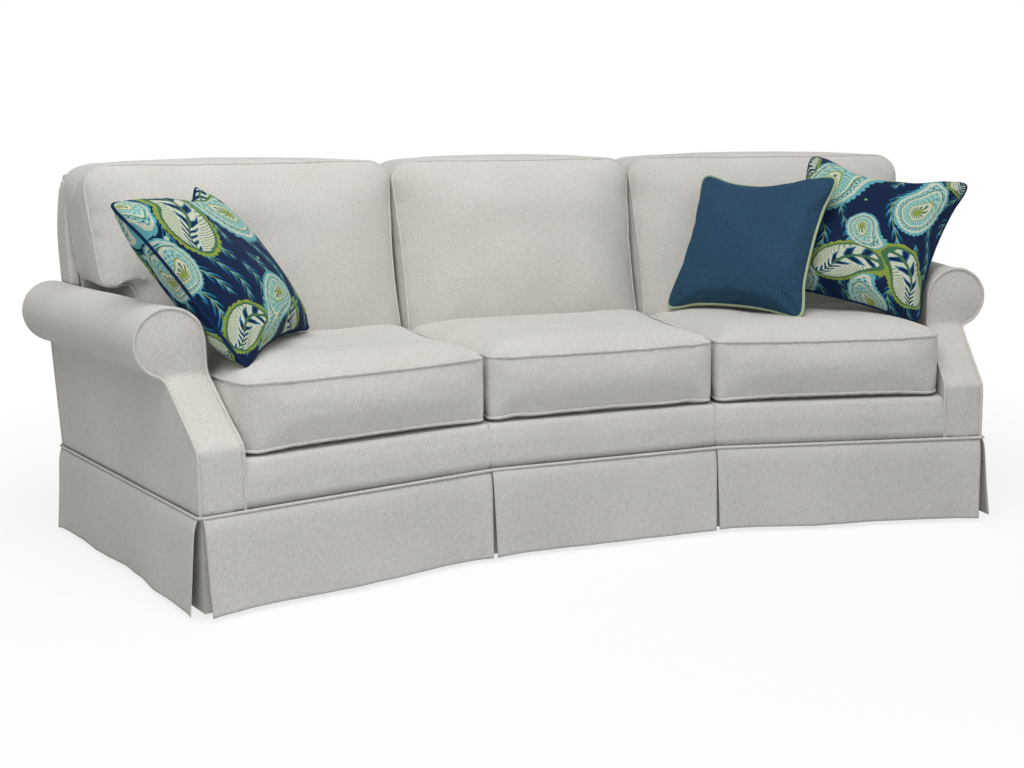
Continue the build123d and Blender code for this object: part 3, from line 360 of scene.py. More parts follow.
def distance_to_lines(*lines):
    """A function that gives how far a point is from the nearest of some lines."""
    points = [point for line in lines for point in line]
    tree = KDTree(len(points))
    for index, point in enumerate(points):
        tree.insert(point, index)
    tree.balance()
    return lambda place: tree.find(place)[2]


def eased(value):
    """0 to 1, smoothly, for a value from 0 to 1 and held outside it."""
    value = min(1.0, max(0.0, value))
    return value * value * (3 - 2 * value)


def shaped(piece, amount):
    """Move each point along its normal by amount(place, normal)."""
    vertices = piece.data.vertices
    moves = [v.normal * amount(v.co, v.normal) for v in vertices]
    for vertex, move in zip(vertices, moves):
        vertex.co += move


def creased(place, size, depth):
    """Soft unevenness of a hand-filled cover at a place."""
    return noise.noise(place / size) * depth


# Materials, written as expressions


class Wire:
    """A shader socket that takes part in Python arithmetic; each operation adds its node."""

    def __init__(self, recipe, socket):
        self.recipe = recipe
        self.socket = socket

    def maths(self, operation, *values):
        return self.recipe.add("Math", dict(enumerate(values)), operation=operation)

    def __add__(self, other):
        return self.maths("ADD", self, other)

    def __sub__(self, other):
        return self.maths("SUBTRACT", self, other)

    def __rsub__(self, other):
        return self.maths("SUBTRACT", other, self)

    def __mul__(self, other):
        return self.maths("MULTIPLY", self, other)

    def __truediv__(self, other):
        return self.maths("DIVIDE", self, other)

    def __rtruediv__(self, other):
        return self.maths("DIVIDE", other, self)

    def __pow__(self, other):
        return self.maths("POWER", self, other)

    def __mod__(self, other):
        return self.maths("FLOORED_MODULO", self, other)

    def __lt__(self, other):
        return self.maths("LESS_THAN", self, other)

    def __abs__(self):
        return self.maths("ABSOLUTE", self)

    __radd__ = __add__
    __rmul__ = __mul__

    def least(self, other):
        return self.maths("MINIMUM", self, other)

    def most(self, other):
        return self.maths("MAXIMUM", self, other)

    def ramp(self, low, high):
        """0 at low, 1 at high, eased between."""
        return self.recipe.add(
            "MapRange", {0: self, 1: low, 2: high, 3: 0.0, 4: 1.0}, interpolation_type="SMOOTHSTEP")


def sine(wire):
    """The sine of a value."""
    return wire.maths("SINE", wire)


def cosine(wire):
    """The cosine of a value."""
    return wire.maths("COSINE", wire)


class Recipe:
    """A material or world written as expressions on its sockets."""

    def __init__(self, owner):
        self.owner = owner
        owner.use_nodes = True
        self.tree = owner.node_tree
        self.tree.nodes.clear()

    def add(self, kind, inputs, output=0, **settings):
        """Add a node of a kind, set it up, feed its sockets and return an output, if it has any."""
        node = self.tree.nodes.new("ShaderNode" + kind)
        for key, value in settings.items():
            setattr(node, key, value)
        for key, value in inputs.items():
            if isinstance(value, Wire):
                self.tree.links.new(value.socket, node.inputs[key])
            else:
                node.inputs[key].default_value = value
        return Wire(self, node.outputs[output]) if node.outputs else None

    def mixed(self, share, first, second):
        """A colour between two, by a share."""
        return self.add("Mix", {0: share, 6: first, 7: second}, output=2, data_type="RGBA")

    def layered(self, color, *layers):
        """A colour with others laid over it in turn, each by its share."""
        for share, over in layers:
            color = self.mixed(share, color, over)
        return color

    def coordinates(self, stretch=(1, 1, 1)):
        """The object's own coordinates, stretched."""
        place = self.add("TexCoord", {}, output="Object")
        return self.add("VectorMath", {0: place, 1: stretch}, operation="MULTIPLY")

    def grain(self, scale, stretch=(1, 1, 1), detail=2.0, rough=0.5):
        """Noise from 0 to 1 at a scale, stretched along the axes."""
        vector = self.coordinates(stretch)
        return self.add(
            "TexNoise", {"Vector": vector, "Scale": scale, "Detail": detail, "Roughness": rough})

    def finish(self, color, roughness, height=None, strength=0.3, distance=0.001, **fixed):
        """The surface itself, with its bump, and the material's output."""
        inputs = {"Base Color": color, "Roughness": roughness}
        if height is not None:
            inputs["Normal"] = self.add(
                "Bump", {"Strength": strength, "Distance": distance, "Height": height})
        for key, value in fixed.items():
            inputs[key.replace("_", " ")] = value
        self.add("OutputMaterial", {0: self.add("BsdfPrincipled", inputs)})
        return self.owner


def recipe_named(name):
    """An empty recipe for a new material."""
    return Recipe(bpy.data.materials.new(name))


def woven(recipe, light, dark, pitch):
    """Threads that cross: a colour between two tones, and their height."""
    fine = 1 / pitch
    warp = recipe.grain(fine, (1, 1, 0.12), 1.0)
    weft = recipe.grain(fine, (0.12, 0.4, 1), 1.0)
    slub = recipe.grain(fine * 0.4, (1, 1, 0.3))
    cloud = recipe.grain(5)
    threads = (warp + weft) * 0.5
    tone = ((threads - 0.5) * 2.4 + (slub - 0.5) * 0.7 + (cloud - 0.5) * 0.5 + 0.5).ramp(-0.1, 1.1)
    return recipe.mixed(tone, dark, light), threads


def linen():
    """The sofa's pale heathered linen."""
    colors = bpy.context.scene.sofa_colors
    recipe = recipe_named("heathered_linen")
    color, threads = woven(recipe, tuple(colors.linen_light), tuple(colors.linen_dark), 0.0012)
    wrinkle = recipe.grain(9, detail=3.0, rough=0.55)
    return recipe.finish(
        color, threads * 0.1 + 0.82, threads * 0.25 + wrinkle * 1.6, 0.5, 0.0028,
        Sheen_Weight=0.12, Sheen_Roughness=0.6, Specular_IOR_Level=0.2)


def plain_cloth(name, light, dark):
    """A plain woven cloth."""
    recipe = recipe_named(name)
    color, threads = woven(recipe, light, dark, 0.0011)
    wrinkle = recipe.grain(14, detail=3.0)
    return recipe.finish(
        color, 0.85, threads * 0.5 + wrinkle, 0.4, 0.002,
        Sheen_Weight=0.01, Specular_IOR_Level=0.08)


def timber(name, light, dark, roughness):
    """Planed timber with its grain along X."""
    recipe = recipe_named(name)
    streaks = recipe.grain(60, (0.06, 1, 1), 4.0, 0.6)
    bands = recipe.grain(9, (0.15, 1, 1))
    tone = (streaks * 0.6 + bands * 0.5).ramp(0.35, 0.75)
    return recipe.finish(
        recipe.mixed(tone, dark, light), streaks * 0.2 + roughness, streaks, 0.3, 0.0006)


def metal(name, color, worn, roughness):
    """Plated or bare wire and sheet, with faint marks."""
    recipe = recipe_named(name)
    marks = recipe.grain(220, detail=3.0, rough=0.6)
    return recipe.finish(
        recipe.mixed(marks.ramp(0.3, 0.8), color, worn), marks * 0.25 + roughness, marks, 0.2,
        0.0003, Metallic=1.0)


def material(make, *words):
    """A material made once and then shared."""
    key = words[0] if words else make.__name__
    found = bpy.data.materials.get(key)
    if not found:
        found = make(*words)
        found.name = key
    return found


def worn_by(piece, finish, body, slot, *nodes):
    """Give a piece its material and body, and hide the nodes that it stands for; the slot is not
    used.
    """
    piece.data.materials.clear()
    piece.data.materials.append(finish)
    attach(piece, body)
    if nodes:
        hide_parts(*nodes)


def body_linen(piece, *nodes):
    """Cover a piece of the sofa's body in its linen."""
    worn_by(piece, material(linen), "frame", "body_linen", *nodes)


def cushion_linen(piece, cushion, *nodes):
    """Cover a piece of a loose cushion in the same linen."""
    worn_by(piece, material(linen), cushion, "cushion_linen", *nodes)


# Cushions

WELT_LEVELS = (0.3229, 0.4699)  # heights of the seat cushions' two welts
BACK_WELTS = (0.014, 0.216)  # how far the back cushions' two welts stand before the inside back
WELT_STEP = 0.008  # between the points of a cushion's welt
LINE_STEP = 0.01  # between the points of a line that distances are taken to
EAR_DROOP = 0.011  # how far the outer back cushions' ears settle towards the arms


def away_from(rings):
    """A function that gives how far a point is from a cushion's seams."""
    return distance_to_lines(*[evened(ring, LINE_STEP, True) for ring, _ in rings])


def sewn_welts(piece, node, rings, radius, lift, rounds):
    """A welt along each of a cushion's seams, laid on its cover."""
    tree = surface_of(piece)
    for index, (ring, closed) in enumerate(rings):
        line = laid_on(tree, evened(ring, WELT_STEP, closed), lift)
        line = evened(line, WELT_STEP, closed, rounds)
        cord = cord_along(f"{node}_welt_{index}", line, radius, closed)
        cushion_linen(cord, node)


class SOFA_OT_seat_cushions(bpy.types.Operator):
    """Three boxed seat cushions with a welt along each edge"""

    bl_idname = "sofa.seat_cushions"
    bl_label = "Seat cushions"

    def execute(self, context):
        sizes = context.scene.sofa_sizes
        for side in SEATS:
            node = f"seat_cushion_{side}"
            piece = remeshed(copy_nodes(f"{node}_cover", node), sizes.cushion_voxel, 3)

            swollen(piece, sizes.pressure, self.proud)
            rings = node_rings(node, lambda co: co.z, WELT_LEVELS)
            away = away_from(rings)
            calmed(piece, 24, lambda place, normal: (
                eased(normal.z * 2) * eased(away(place) / 0.09 - 0.2)))
            with_modifier(piece, "SUBSURF", levels=1)
            shaped(piece, lambda place, normal: (
                creased(place, 0.09, 0.0014) if normal.z > 0 else 0))
            cushion_linen(smooth_shaded(piece), node, node)
            sewn_welts(piece, node, rings, sizes.welt_radius, sizes.welt_radius * 0.35, 2)
        return {"FINISHED"}

    @staticmethod
    def proud(place, normal):
        """How far the filling may lift the cover: most on top, not at all below."""
        if normal.z > 0.5 and place.z > WELT_LEVELS[1]:
            return 0.007
        return 0.001 if normal.z > -0.5 else 0


class SOFA_OT_back_cushions(bpy.types.Operator):
    """Three boxed back cushions, the outer two with ears over the arms"""

    bl_idname = "sofa.back_cushions"
    bl_label = "Back cushions"

    def execute(self, context):
        sizes = context.scene.sofa_sizes
        for side, hand in SEATS.items():
            node = f"back_cushion_{side}"
            _, behind = seat_axes(hand)
            facing = UP * sin(LEAN) - behind * cos(LEAN)
            foot = seat_origin(hand) + behind * INSIDE_BACK + UP * DECK_TOP
            piece = remeshed(copy_nodes(f"{node}_cover", node), sizes.cushion_voxel, 4)

            def proud(place, normal, facing=facing):
                above_seat = eased((place.z - WELT_LEVELS[1]) / 0.16)
                return 0.001 + 0.009 * above_seat * eased((normal.dot(facing) - 0.5) * 4)

            swollen(piece, sizes.pressure, proud)
            rings = node_rings(node, lambda co: (co - foot).dot(facing), BACK_WELTS)
            away = away_from(rings)
            calmed(piece, 90, lambda place, normal: (
                eased((normal.dot(facing) - 0.6) * 5) * eased(away(place) / 0.08 - 0.25)))
            with_modifier(piece, "SUBSURF", levels=1)
            shaped(piece, lambda place, normal: (
                creased(place, 0.11, 0.002) if normal.y < 0 else 0))
            if hand:
                self.droop(piece, side, hand)
            cushion_linen(smooth_shaded(piece), node, node)
            sewn_welts(piece, node, rings, sizes.welt_radius * 0.85, sizes.welt_radius * 0.2, 3)
        return {"FINISHED"}

    def droop(self, piece, side, hand):
        """Let the ear settle towards the arm's roll beneath it."""
        along, _ = seat_axes(hand)
        roll_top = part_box(f"inside_arm_{side}")[1].z
        start = seat_origin(hand)
        body = max(
            (v.co - start).dot(along) * hand for v in piece.data.vertices
            if v.co.z < roll_top - 0.05)
        for vertex in piece.data.vertices:
            beyond = (vertex.co - start).dot(along) * hand - body
            share = eased(beyond / 0.03) * eased(1 - (vertex.co.z - roll_top - 0.02) / 0.12)
            if vertex.co.z > roll_top - 0.01:
                vertex.co.z -= EAR_DROOP * share


# Arms, border and back

SKIRT_TOP = 0.212  # the middle of the skirt's welt
ABOVE_SKIRT = SKIRT_TOP + 5e-4  # an edge that ends lower lies in the skirt's top
ARM_STEP = 0.007  # between the points of an arm's welt


class SOFA_OT_arms(bpy.types.Operator):
    """Sock arms: padded rolls, slopes and panels, with a welt round each face"""

    bl_idname = "sofa.arms"
    bl_label = "Arms"

    def execute(self, context):
        sizes = context.scene.sofa_sizes
        for side, hand in HANDS.items():
            covers = [f"{kind}_{side}" for kind in ("inside_arm", "outside_arm", "arm_face")]
            piece = copy_nodes(f"arm_cover_{side}", *covers, f"arm_side_panel_{side}")
            remeshed(piece, sizes.arm_voxel, 4)
            _, behind = seat_axes(hand)
            line = self.face_seam(f"arm_face_{side}", behind)
            away = distance_to_lines(line)

            def padding(place, normal, away=away, behind=behind):
                front = -normal.dot(behind)
                if front > 0.25:
                    return 0.006 * eased(away(place) / 0.07) * eased((front - 0.25) * 2)
                return creased(place, 0.12, 0.0012)

            shaped(piece, padding)
            smooth_shaded(softened(piece, 2))
            body_linen(piece, *covers)
            seam = laid_on(surface_of(piece), line, sizes.welt_radius * 0.5)
            seam = evened(seam, ARM_STEP, False, 2)
            cord = cord_along(f"arm_welt_{side}", seam, sizes.welt_radius, False)
            body_linen(cord)
        return {"FINISHED"}

    def face_seam(self, node, behind):
        """The line round an arm's face, from the seat over the roll and down to the skirt."""
        form = node_bmesh(node)
        form.normal_update()
        edges = []
        for edge in form.edges:
            if len(edge.link_faces) != 2 or max(v.co.z for v in edge.verts) < ABOVE_SKIRT:
                continue
            fronts = sorted(-face.normal.dot(behind) for face in edge.link_faces)
            if fronts[0] < 0.15 < 0.3 < fronts[1]:
                edges.append(edge)
        line, _ = longest_chain(edges)
        form.free()
        return evened(line, ARM_STEP, False)


def upholstered(node, voxel, padding):
    """A padded cover of the sofa's body in place of its node."""
    piece = remeshed(copy_nodes(f"{node}_cover", node), voxel, 3)
    shaped(piece, padding)
    body_linen(smooth_shaded(piece), node)


class SOFA_OT_front_border(bpy.types.Operator):
    """The padded front border between the skirt and the cushions"""

    bl_idname = "sofa.front_border"
    bl_label = "Front border"

    def execute(self, context):
        for side, hand in SEATS.items():
            node = f"front_border_{side}"
            _, behind = seat_axes(hand)
            low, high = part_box(node)

            def padding(place, normal, low=low, high=high, behind=behind):
                if -normal.dot(behind) < 0.3:
                    return 0
                rise = (place.z - low.z) / (high.z - low.z)
                crown = 0.006 * eased(rise * 5) * eased((1 - rise) * 2.2)
                return crown + creased(place, 0.1, 0.0015)

            upholstered(node, 0.004, padding)
        return {"FINISHED"}


class SOFA_OT_back_covers(bpy.types.Operator):
    """Inside backs, rounded shoulders and the outside back"""

    bl_idname = "sofa.back_covers"
    bl_label = "Back covers"

    def execute(self, context):
        for node in (*[f"inside_back_{side}" for side in SEATS],
                     *[f"back_shoulder_{side}" for side in HANDS]):
            upholstered(node, 0.006, lambda place, normal: creased(place, 0.14, 0.0015))
        piece = copy_nodes("outside_back_cover", "outside_back")
        fold_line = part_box("outside_back")[1].z - 0.036
        for vertex in piece.data.vertices:
            if vertex.co.z > fold_line:  # the part that tucks under the inside back's fold
                vertex.co.z = fold_line + (vertex.co.z - fold_line) * 0.3
        with_modifier(piece, "BEVEL", width=0.002, segments=2, limit_method="ANGLE")
        body_linen(piece, "outside_back")
        return {"FINISHED"}


# Skirt

PANEL_ROLL = 0.009  # how far a panel rolls out from under the welt
PANEL_KICK = 0.004  # how far its ends curl out at the hem
PANEL_SWING = 0.006  # how far its ends draw back from a pleat
CORNER_SWING = 0.014  # and from a corner's pleat
PANEL_THICKNESS = 0.0022
PANEL_STEP = 0.008  # between its points across
PANEL_ROWS = 30


def loose_parts(form):
    """The points of each separate solid of a bmesh."""
    parts, seen = [], set()
    for start in form.verts:
        if start in seen:
            continue
        group, stack = [], [start]
        seen.add(start)
        while stack:
            vertex = stack.pop()
            group.append(vertex)
            for edge in vertex.link_edges:
                other = edge.other_vert(vertex)
                if other not in seen:
                    seen.add(other)
                    stack.append(other)
        parts.append(group)
    return parts


class PanelLine:
    """Where one skirt panel hangs."""

    def __init__(self, verts):
        top = max(v.co.z for v in verts)
        ends = [v.co.copy() for v in verts if v.co.z > top - 5e-4]
        first = max(ends, key=lambda p: (p - ends[0]).length)
        last = max(ends, key=lambda p: (p - first).length)
        if abs(first.x - last.x) > 0.3 * (last - first).length and first.x > last.x:
            first, last = last, first
        self.first, self.last, self.top = first, last, top
        self.run = (last - first).normalized()
        out = self.run.cross(UP)
        self.out = out if out.dot((first + last) / 2) > 0 else -out
        self.length = (last - first).length
        self.first = first + self.out * (max((p - first).dot(self.out) for p in ends) - 0.0015)
        self.swings = [CORNER_SWING if abs(p.x) > 1.1 else PANEL_SWING for p in (first, last)]


def hanging_panel(name, line, seed, sizes):
    """One flat skirt panel, hemmed and gently waved, as a sheet."""
    across = round(line.length / PANEL_STEP)
    drop = line.top - sizes.skirt_clearance
    form = bmesh.new()
    rows = []
    for j in range(PANEL_ROWS + 1):
        fall = j / PANEL_ROWS
        row = []
        for i in range(across + 1):
            along = i / across
            edge = 1 - min(1, min(along, 1 - along) * line.length / 0.09)
            wave = noise.noise(Vector((along * line.length * 5, seed * 7.3 + 2, fall * 0.4)))
            ripple = noise.noise(Vector((along * line.length * 17, seed * 3.1, fall * 1.3)))
            out = sizes.skirt_flare * (0.3 + 0.38 * edge**2) * fall**1.15 + 0.001
            out += PANEL_ROLL * (1 - (1 - fall) ** 14)
            out += (wave * 0.014 + ripple * 0.0028) * fall**0.9
            out += PANEL_KICK * edge**3 * fall**1.6
            hem_lift = 0.003 * noise.noise(Vector((along * line.length * 4, seed, 3))) * fall
            swing = (line.swings[0] * (1 - along) - line.swings[1] * along) * edge**2 * fall
            point = line.first + line.run * (along * line.length + swing) + line.out * out
            point.z = line.top - drop * fall + abs(hem_lift) * fall
            row.append(form.verts.new(point))
        rows.append(row)
    for upper, lower in zip(rows, rows[1:]):
        for i in range(across):
            form.faces.new((upper[i], upper[i + 1], lower[i + 1], lower[i]))
    form.normal_update()
    piece = formed_piece(name, form)
    with_modifier(piece, "SOLIDIFY", thickness=PANEL_THICKNESS, offset=0)
    return smooth_shaded(piece)


class SOFA_OT_skirt(bpy.types.Operator):
    """Skirt panels, pleat inserts and the welt that they hang from"""

    bl_idname = "sofa.skirt"
    bl_label = "Skirt"

    def execute(self, context):
        sizes = context.scene.sofa_sizes
        self.welt()
        nodes = [f"skirt_front_{side}" for side in SEATS] + [f"skirt_side_{side}" for side in HANDS]
        for seed, node in enumerate((*nodes, "skirt_back")):
            form = node_bmesh(node)
            for index, verts in enumerate(loose_parts(form)):
                line = PanelLine(verts)
                piece = hanging_panel(f"{node}_panel_{index}", line, seed + index * 0.37, sizes)
                body_linen(piece, node)
            form.free()
        self.inserts()
        return {"FINISHED"}

    def welt(self):
        """The cord round the whole sofa at the skirt's top."""
        form = node_bmesh("skirt_welt")
        low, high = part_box("skirt_welt")
        ring, closed = level_ring(form, lambda co: co.z > high.z - 2e-4)
        form.free()
        line = [Vector((p.x, p.y, (low.z + high.z) / 2)) for p in evened(ring, 0.01, closed)]
        cord = cord_along("skirt_welt_cord", line, 0.0036, closed)
        body_linen(cord, "skirt_welt")

    def inserts(self):
        """The strips behind the open pleats."""
        piece = copy_nodes("pleat_insert_strips", "pleat_inserts")
        body_linen(piece, "pleat_inserts")


# Throw pillows

PILLOW_TURNS = {  # how each lower edge is turned and risen, and how far the pillow leans back
    "pillow_left": (62.2, 3.2, 37.9),
    "pillow_right": (-51.2, -9.8, 37.4),
    "pillow_plain": (-58.3, 0.0, 28.9),
}


def pillow_frame(node):
    """A matrix whose x runs along a pillow's lower edge, y up the pillow and z out of its face."""
    turned, risen, lean = (radians(angle) for angle in PILLOW_TURNS[node])
    edge = Vector((cos(turned) * cos(risen), sin(turned) * cos(risen), sin(risen)))
    upright = Vector((-cos(turned) * sin(risen), -sin(turned) * sin(risen), cos(risen)))
    back = Vector((-sin(turned), cos(turned), 0))
    rise = upright * cos(lean) + back * sin(lean)
    low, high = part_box(node)
    axes = Matrix((edge, rise, edge.cross(rise))).transposed().to_4x4()
    return Matrix.Translation((low + high) / 2) @ axes


PILLOW_WAIST = 0.095  # how far the middles of a pillow's sides are drawn in, as a share
PILLOW_ROUND = 14  # power of the corners' rounding: larger is squarer
PILLOW_CELLS = 60  # across one face
PILLOW_CHOPS = {  # by seed: where a pillow's top edge is pushed in, and how deep
    1.5: (0.45, 0.13),
    2.5: (0.0, 0.09),
    4.5: (-0.15, 0.05),
}
SEAM_STEP = 0.006  # between the points of a pillow's welt
SEAM_TAKE = 0.006  # what the plain pillow's thicker welt takes from its side


def pillow_point(u, v, face, side, loft, seed):
    """A place on a filled square pillow, from places -1 to 1 on its cut, on one face."""
    chop_at, chop = PILLOW_CHOPS[seed]
    chop *= max(0, 1 - ((u - chop_at) / 0.75) ** 2) ** 1.5 * eased(v) ** 2
    full = ((1 - abs(u) ** 2.4) * (1 - abs(v) ** 2.4)) ** 0.52
    near = 1 - min(1, hypot(1 - abs(u), 1 - abs(v)) / 0.55)  # 1 at a corner
    way = atan2(1 - abs(v), 1 - abs(u))
    fold = sin(way * 9 + seed + (2 if u * v > 0 else 0)) * near * (1 - near) * 0.018
    sag = noise.noise(Vector((u * 1.7, v * 1.7, seed))) * 0.006
    sag += noise.noise(Vector((u * 5, v * 5, seed))) * 0.002
    drawn_u = u * (1 - PILLOW_WAIST * (1 - v * v) * abs(u))
    drawn_v = v * (1 - PILLOW_WAIST * (1 - u * u) * abs(v)) - chop
    power, reach = PILLOW_ROUND, max(abs(u), abs(v))
    corner = (abs(u) ** power + abs(v) ** power) ** (-1 / power) if u or v else 1
    corner = 1 - (1 - min(1, corner * reach)) * reach**3
    height = face * (loft / 2 * full + fold * full**0.5) + (sag if face > 0 else -sag * 0.5) * full
    sway = noise.noise(Vector((u, v, seed + 5))) * 0.01 * (1 - full)  # the seam isn't quite flat
    return Vector((drawn_u * corner * side / 2, drawn_v * corner * side / 2, height + sway))


def cut_place(index):
    """Where a line of the pillow's mesh lies on its cut, -1 to 1: closer together at the seams."""
    share = index / PILLOW_CELLS
    return (sin((share - 0.5) * pi) + share * 2 - 1) / 2


def pillow_case(name, side, loft, seed):
    """A knife-edge pillow: two squares sewn at their edges and filled."""
    count = PILLOW_CELLS
    form = bmesh.new()
    layer = form.loops.layers.uv.new("cut")
    front = None
    for face in (1, -1):
        grid = []
        for j in range(count + 1):
            row = []
            for i in range(count + 1):
                if front and (i in (0, count) or j in (0, count)):
                    row.append(front[j][i])
                    continue
                place = pillow_point(cut_place(i), cut_place(j), face, side, loft, seed)
                row.append(form.verts.new(place))
            grid.append(row)
        front = front or grid
        for j in range(count):
            for i in range(count):
                corners = [(i, j), (i + 1, j), (i + 1, j + 1), (i, j + 1)]
                if face < 0:
                    corners.reverse()
                made = form.faces.new([grid[b][a] for a, b in corners])
                for loop, (a, b) in zip(made.loops, corners):
                    loop[layer].uv = (a / count, b / count)
    piece = formed_piece(name, form)
    swollen(
        piece, 5.0, lambda place, normal: 0.006, kept=0.6, start=0, grown=0.012, steps=12, bend=0.4)
    with_modifier(piece, "SUBSURF", levels=1)
    return smooth_shaded(piece)


def throw_pillow(node, side, loft, seed, cloth, trim, trim_radius, slot):
    """A filled pillow in its place, with a welt sewn into its seam, where its cut ends."""
    piece = pillow_case(f"{node}_case", side, loft, seed)
    piece.data.transform(pillow_frame(node))
    worn_by(piece, cloth, node, slot, node)
    form = bmesh.new()
    form.from_mesh(piece.data)
    layer = form.loops.layers.uv.active
    edges = []
    for edge in form.edges:
        cuts = [loop[layer].uv for vertex in edge.verts for loop in vertex.link_loops]
        if all(min(cut.x, cut.y, 1 - cut.x, 1 - cut.y) < 1e-4 for cut in cuts):
            edges.append(edge)
    line, closed = longest_chain(edges)
    form.free()
    cord = cord_along(f"{node}_welt", evened(line, SEAM_STEP, closed), trim_radius, closed)
    worn_by(cord, trim, node, slot)


def toned(color, share):
    """A colour made lighter or darker by a share."""
    return tuple(part * share for part in color[:3]) + (1,)


class SOFA_OT_print_pillows(bpy.types.Operator):
    """Two knife-edge pillows with a leafy print"""

    bl_idname = "sofa.print_pillows"
    bl_label = "Printed pillows"

    def execute(self, context):
        sizes = context.scene.sofa_sizes
        dark = tuple(context.scene.sofa_colors.navy)
        trim = material(plain_cloth, "navy_cord", toned(dark, 1.6), dark)
        for seed, node in enumerate(("pillow_left", "pillow_right")):
            cloth = material(leafy_print, f"leafy_print_{node}", seed)
            throw_pillow(
                node, sizes.pillow_side, sizes.pillow_loft, seed + 1.5, cloth, trim, 0.0036,
                "paisley_print")
        return {"FINISHED"}


class SOFA_OT_plain_pillow(bpy.types.Operator):
    """The plain pillow with its contrasting welt"""

    bl_idname = "sofa.plain_pillow"
    bl_label = "Plain pillow"

    def execute(self, context):
        sizes = context.scene.sofa_sizes
        colors = context.scene.sofa_colors
        celery = tuple(colors.celery)
        cloth = material(plain_cloth, "teal_cloth", tuple(colors.teal_light), tuple(colors.teal))
        trim = material(plain_cloth, "celery_cord", celery, toned(celery, 0.7))
        side = sizes.plain_side - SEAM_TAKE
        throw_pillow(
            "pillow_plain", side, sizes.plain_loft, 4.5, cloth, trim, 0.0048, "teal_weave")
        return {"FINISHED"}


LEAF_SIZE = 0.9  # share of the drawn leaves' size
PRINT_LEAVES = (  # on the two cuts, each leaf's middle, size, turn, hand and kind: fern 0, dotted 1
    ((0.25, 0.66, 0.235, 62, 1, 0), (0.66, 0.68, 0.28, 118, -1, 1), (0.54, 0.27, 0.17, 205, 1, 1),
     (0.85, 0.22, 0.19, 75, -1, 0), (0.10, 0.20, 0.18, 20, -1, 0), (0.45, 0.97, 0.15, 320, 1, 1),
     (0.95, 0.90, 0.18, 150, 1, 0), (0.03, 0.95, 0.16, 300, -1, 1), (0.30, 0.05, 0.16, 35, 1, 1),
     (0.98, 0.52, 0.15, 260, 1, 1), (0.02, 0.52, 0.13, 80, 1, 1), (0.64, 0.02, 0.13, 120, -1, 0)),
    ((0.28, 0.66, 0.27, 70, -1, 1), (0.76, 0.60, 0.20, 60, 1, 1), (0.46, 0.22, 0.18, 40, -1, 0),
     (0.88, 0.20, 0.20, 115, 1, 0), (0.10, 0.22, 0.18, 75, -1, 1), (0.58, 0.96, 0.18, 200, 1, 0),
     (0.03, 0.92, 0.16, 280, 1, 0), (0.96, 0.93, 0.20, 80, -1, 0), (0.30, 0.02, 0.13, 50, 1, 1),
     (0.67, 0.02, 0.14, 130, -1, 1), (0.53, 0.47, 0.11, 300, 1, 1), (0.02, 0.55, 0.12, 90, 1, 0)),
)


def leaf_fields(x, y, leaves):
    """How deep each place lies in its nearest leaf (1 at its edge), its angle there and kind."""
    depth = angle = kind = None
    for across, along, size, turned, hand, is_dotted in leaves:
        way = radians(turned)
        size *= LEAF_SIZE
        px = ((x - across) * cos(way) + (y - along) * sin(way)) * (1 / size)
        py = ((y - along) * cos(way) - (x - across) * sin(way)) * (hand / size)
        reach = (px * px + py * py) ** 0.5
        bent = py.maths("ARCTAN2", py, px) - reach * 0.62 + 0.5
        wrapped = bent.maths("WRAP", bent, pi, -pi)
        level = reach / (0.56 + 0.98 / (1.0 + (wrapped * 2.0) ** 2))
        if depth is None:
            depth, angle, kind = level, wrapped, level * 0.0 + is_dotted
            continue
        nearer = level < depth
        angle = angle + (wrapped - angle) * nearer
        kind = kind + (is_dotted - kind) * nearer
        depth = depth.least(level)
    return depth, angle, kind


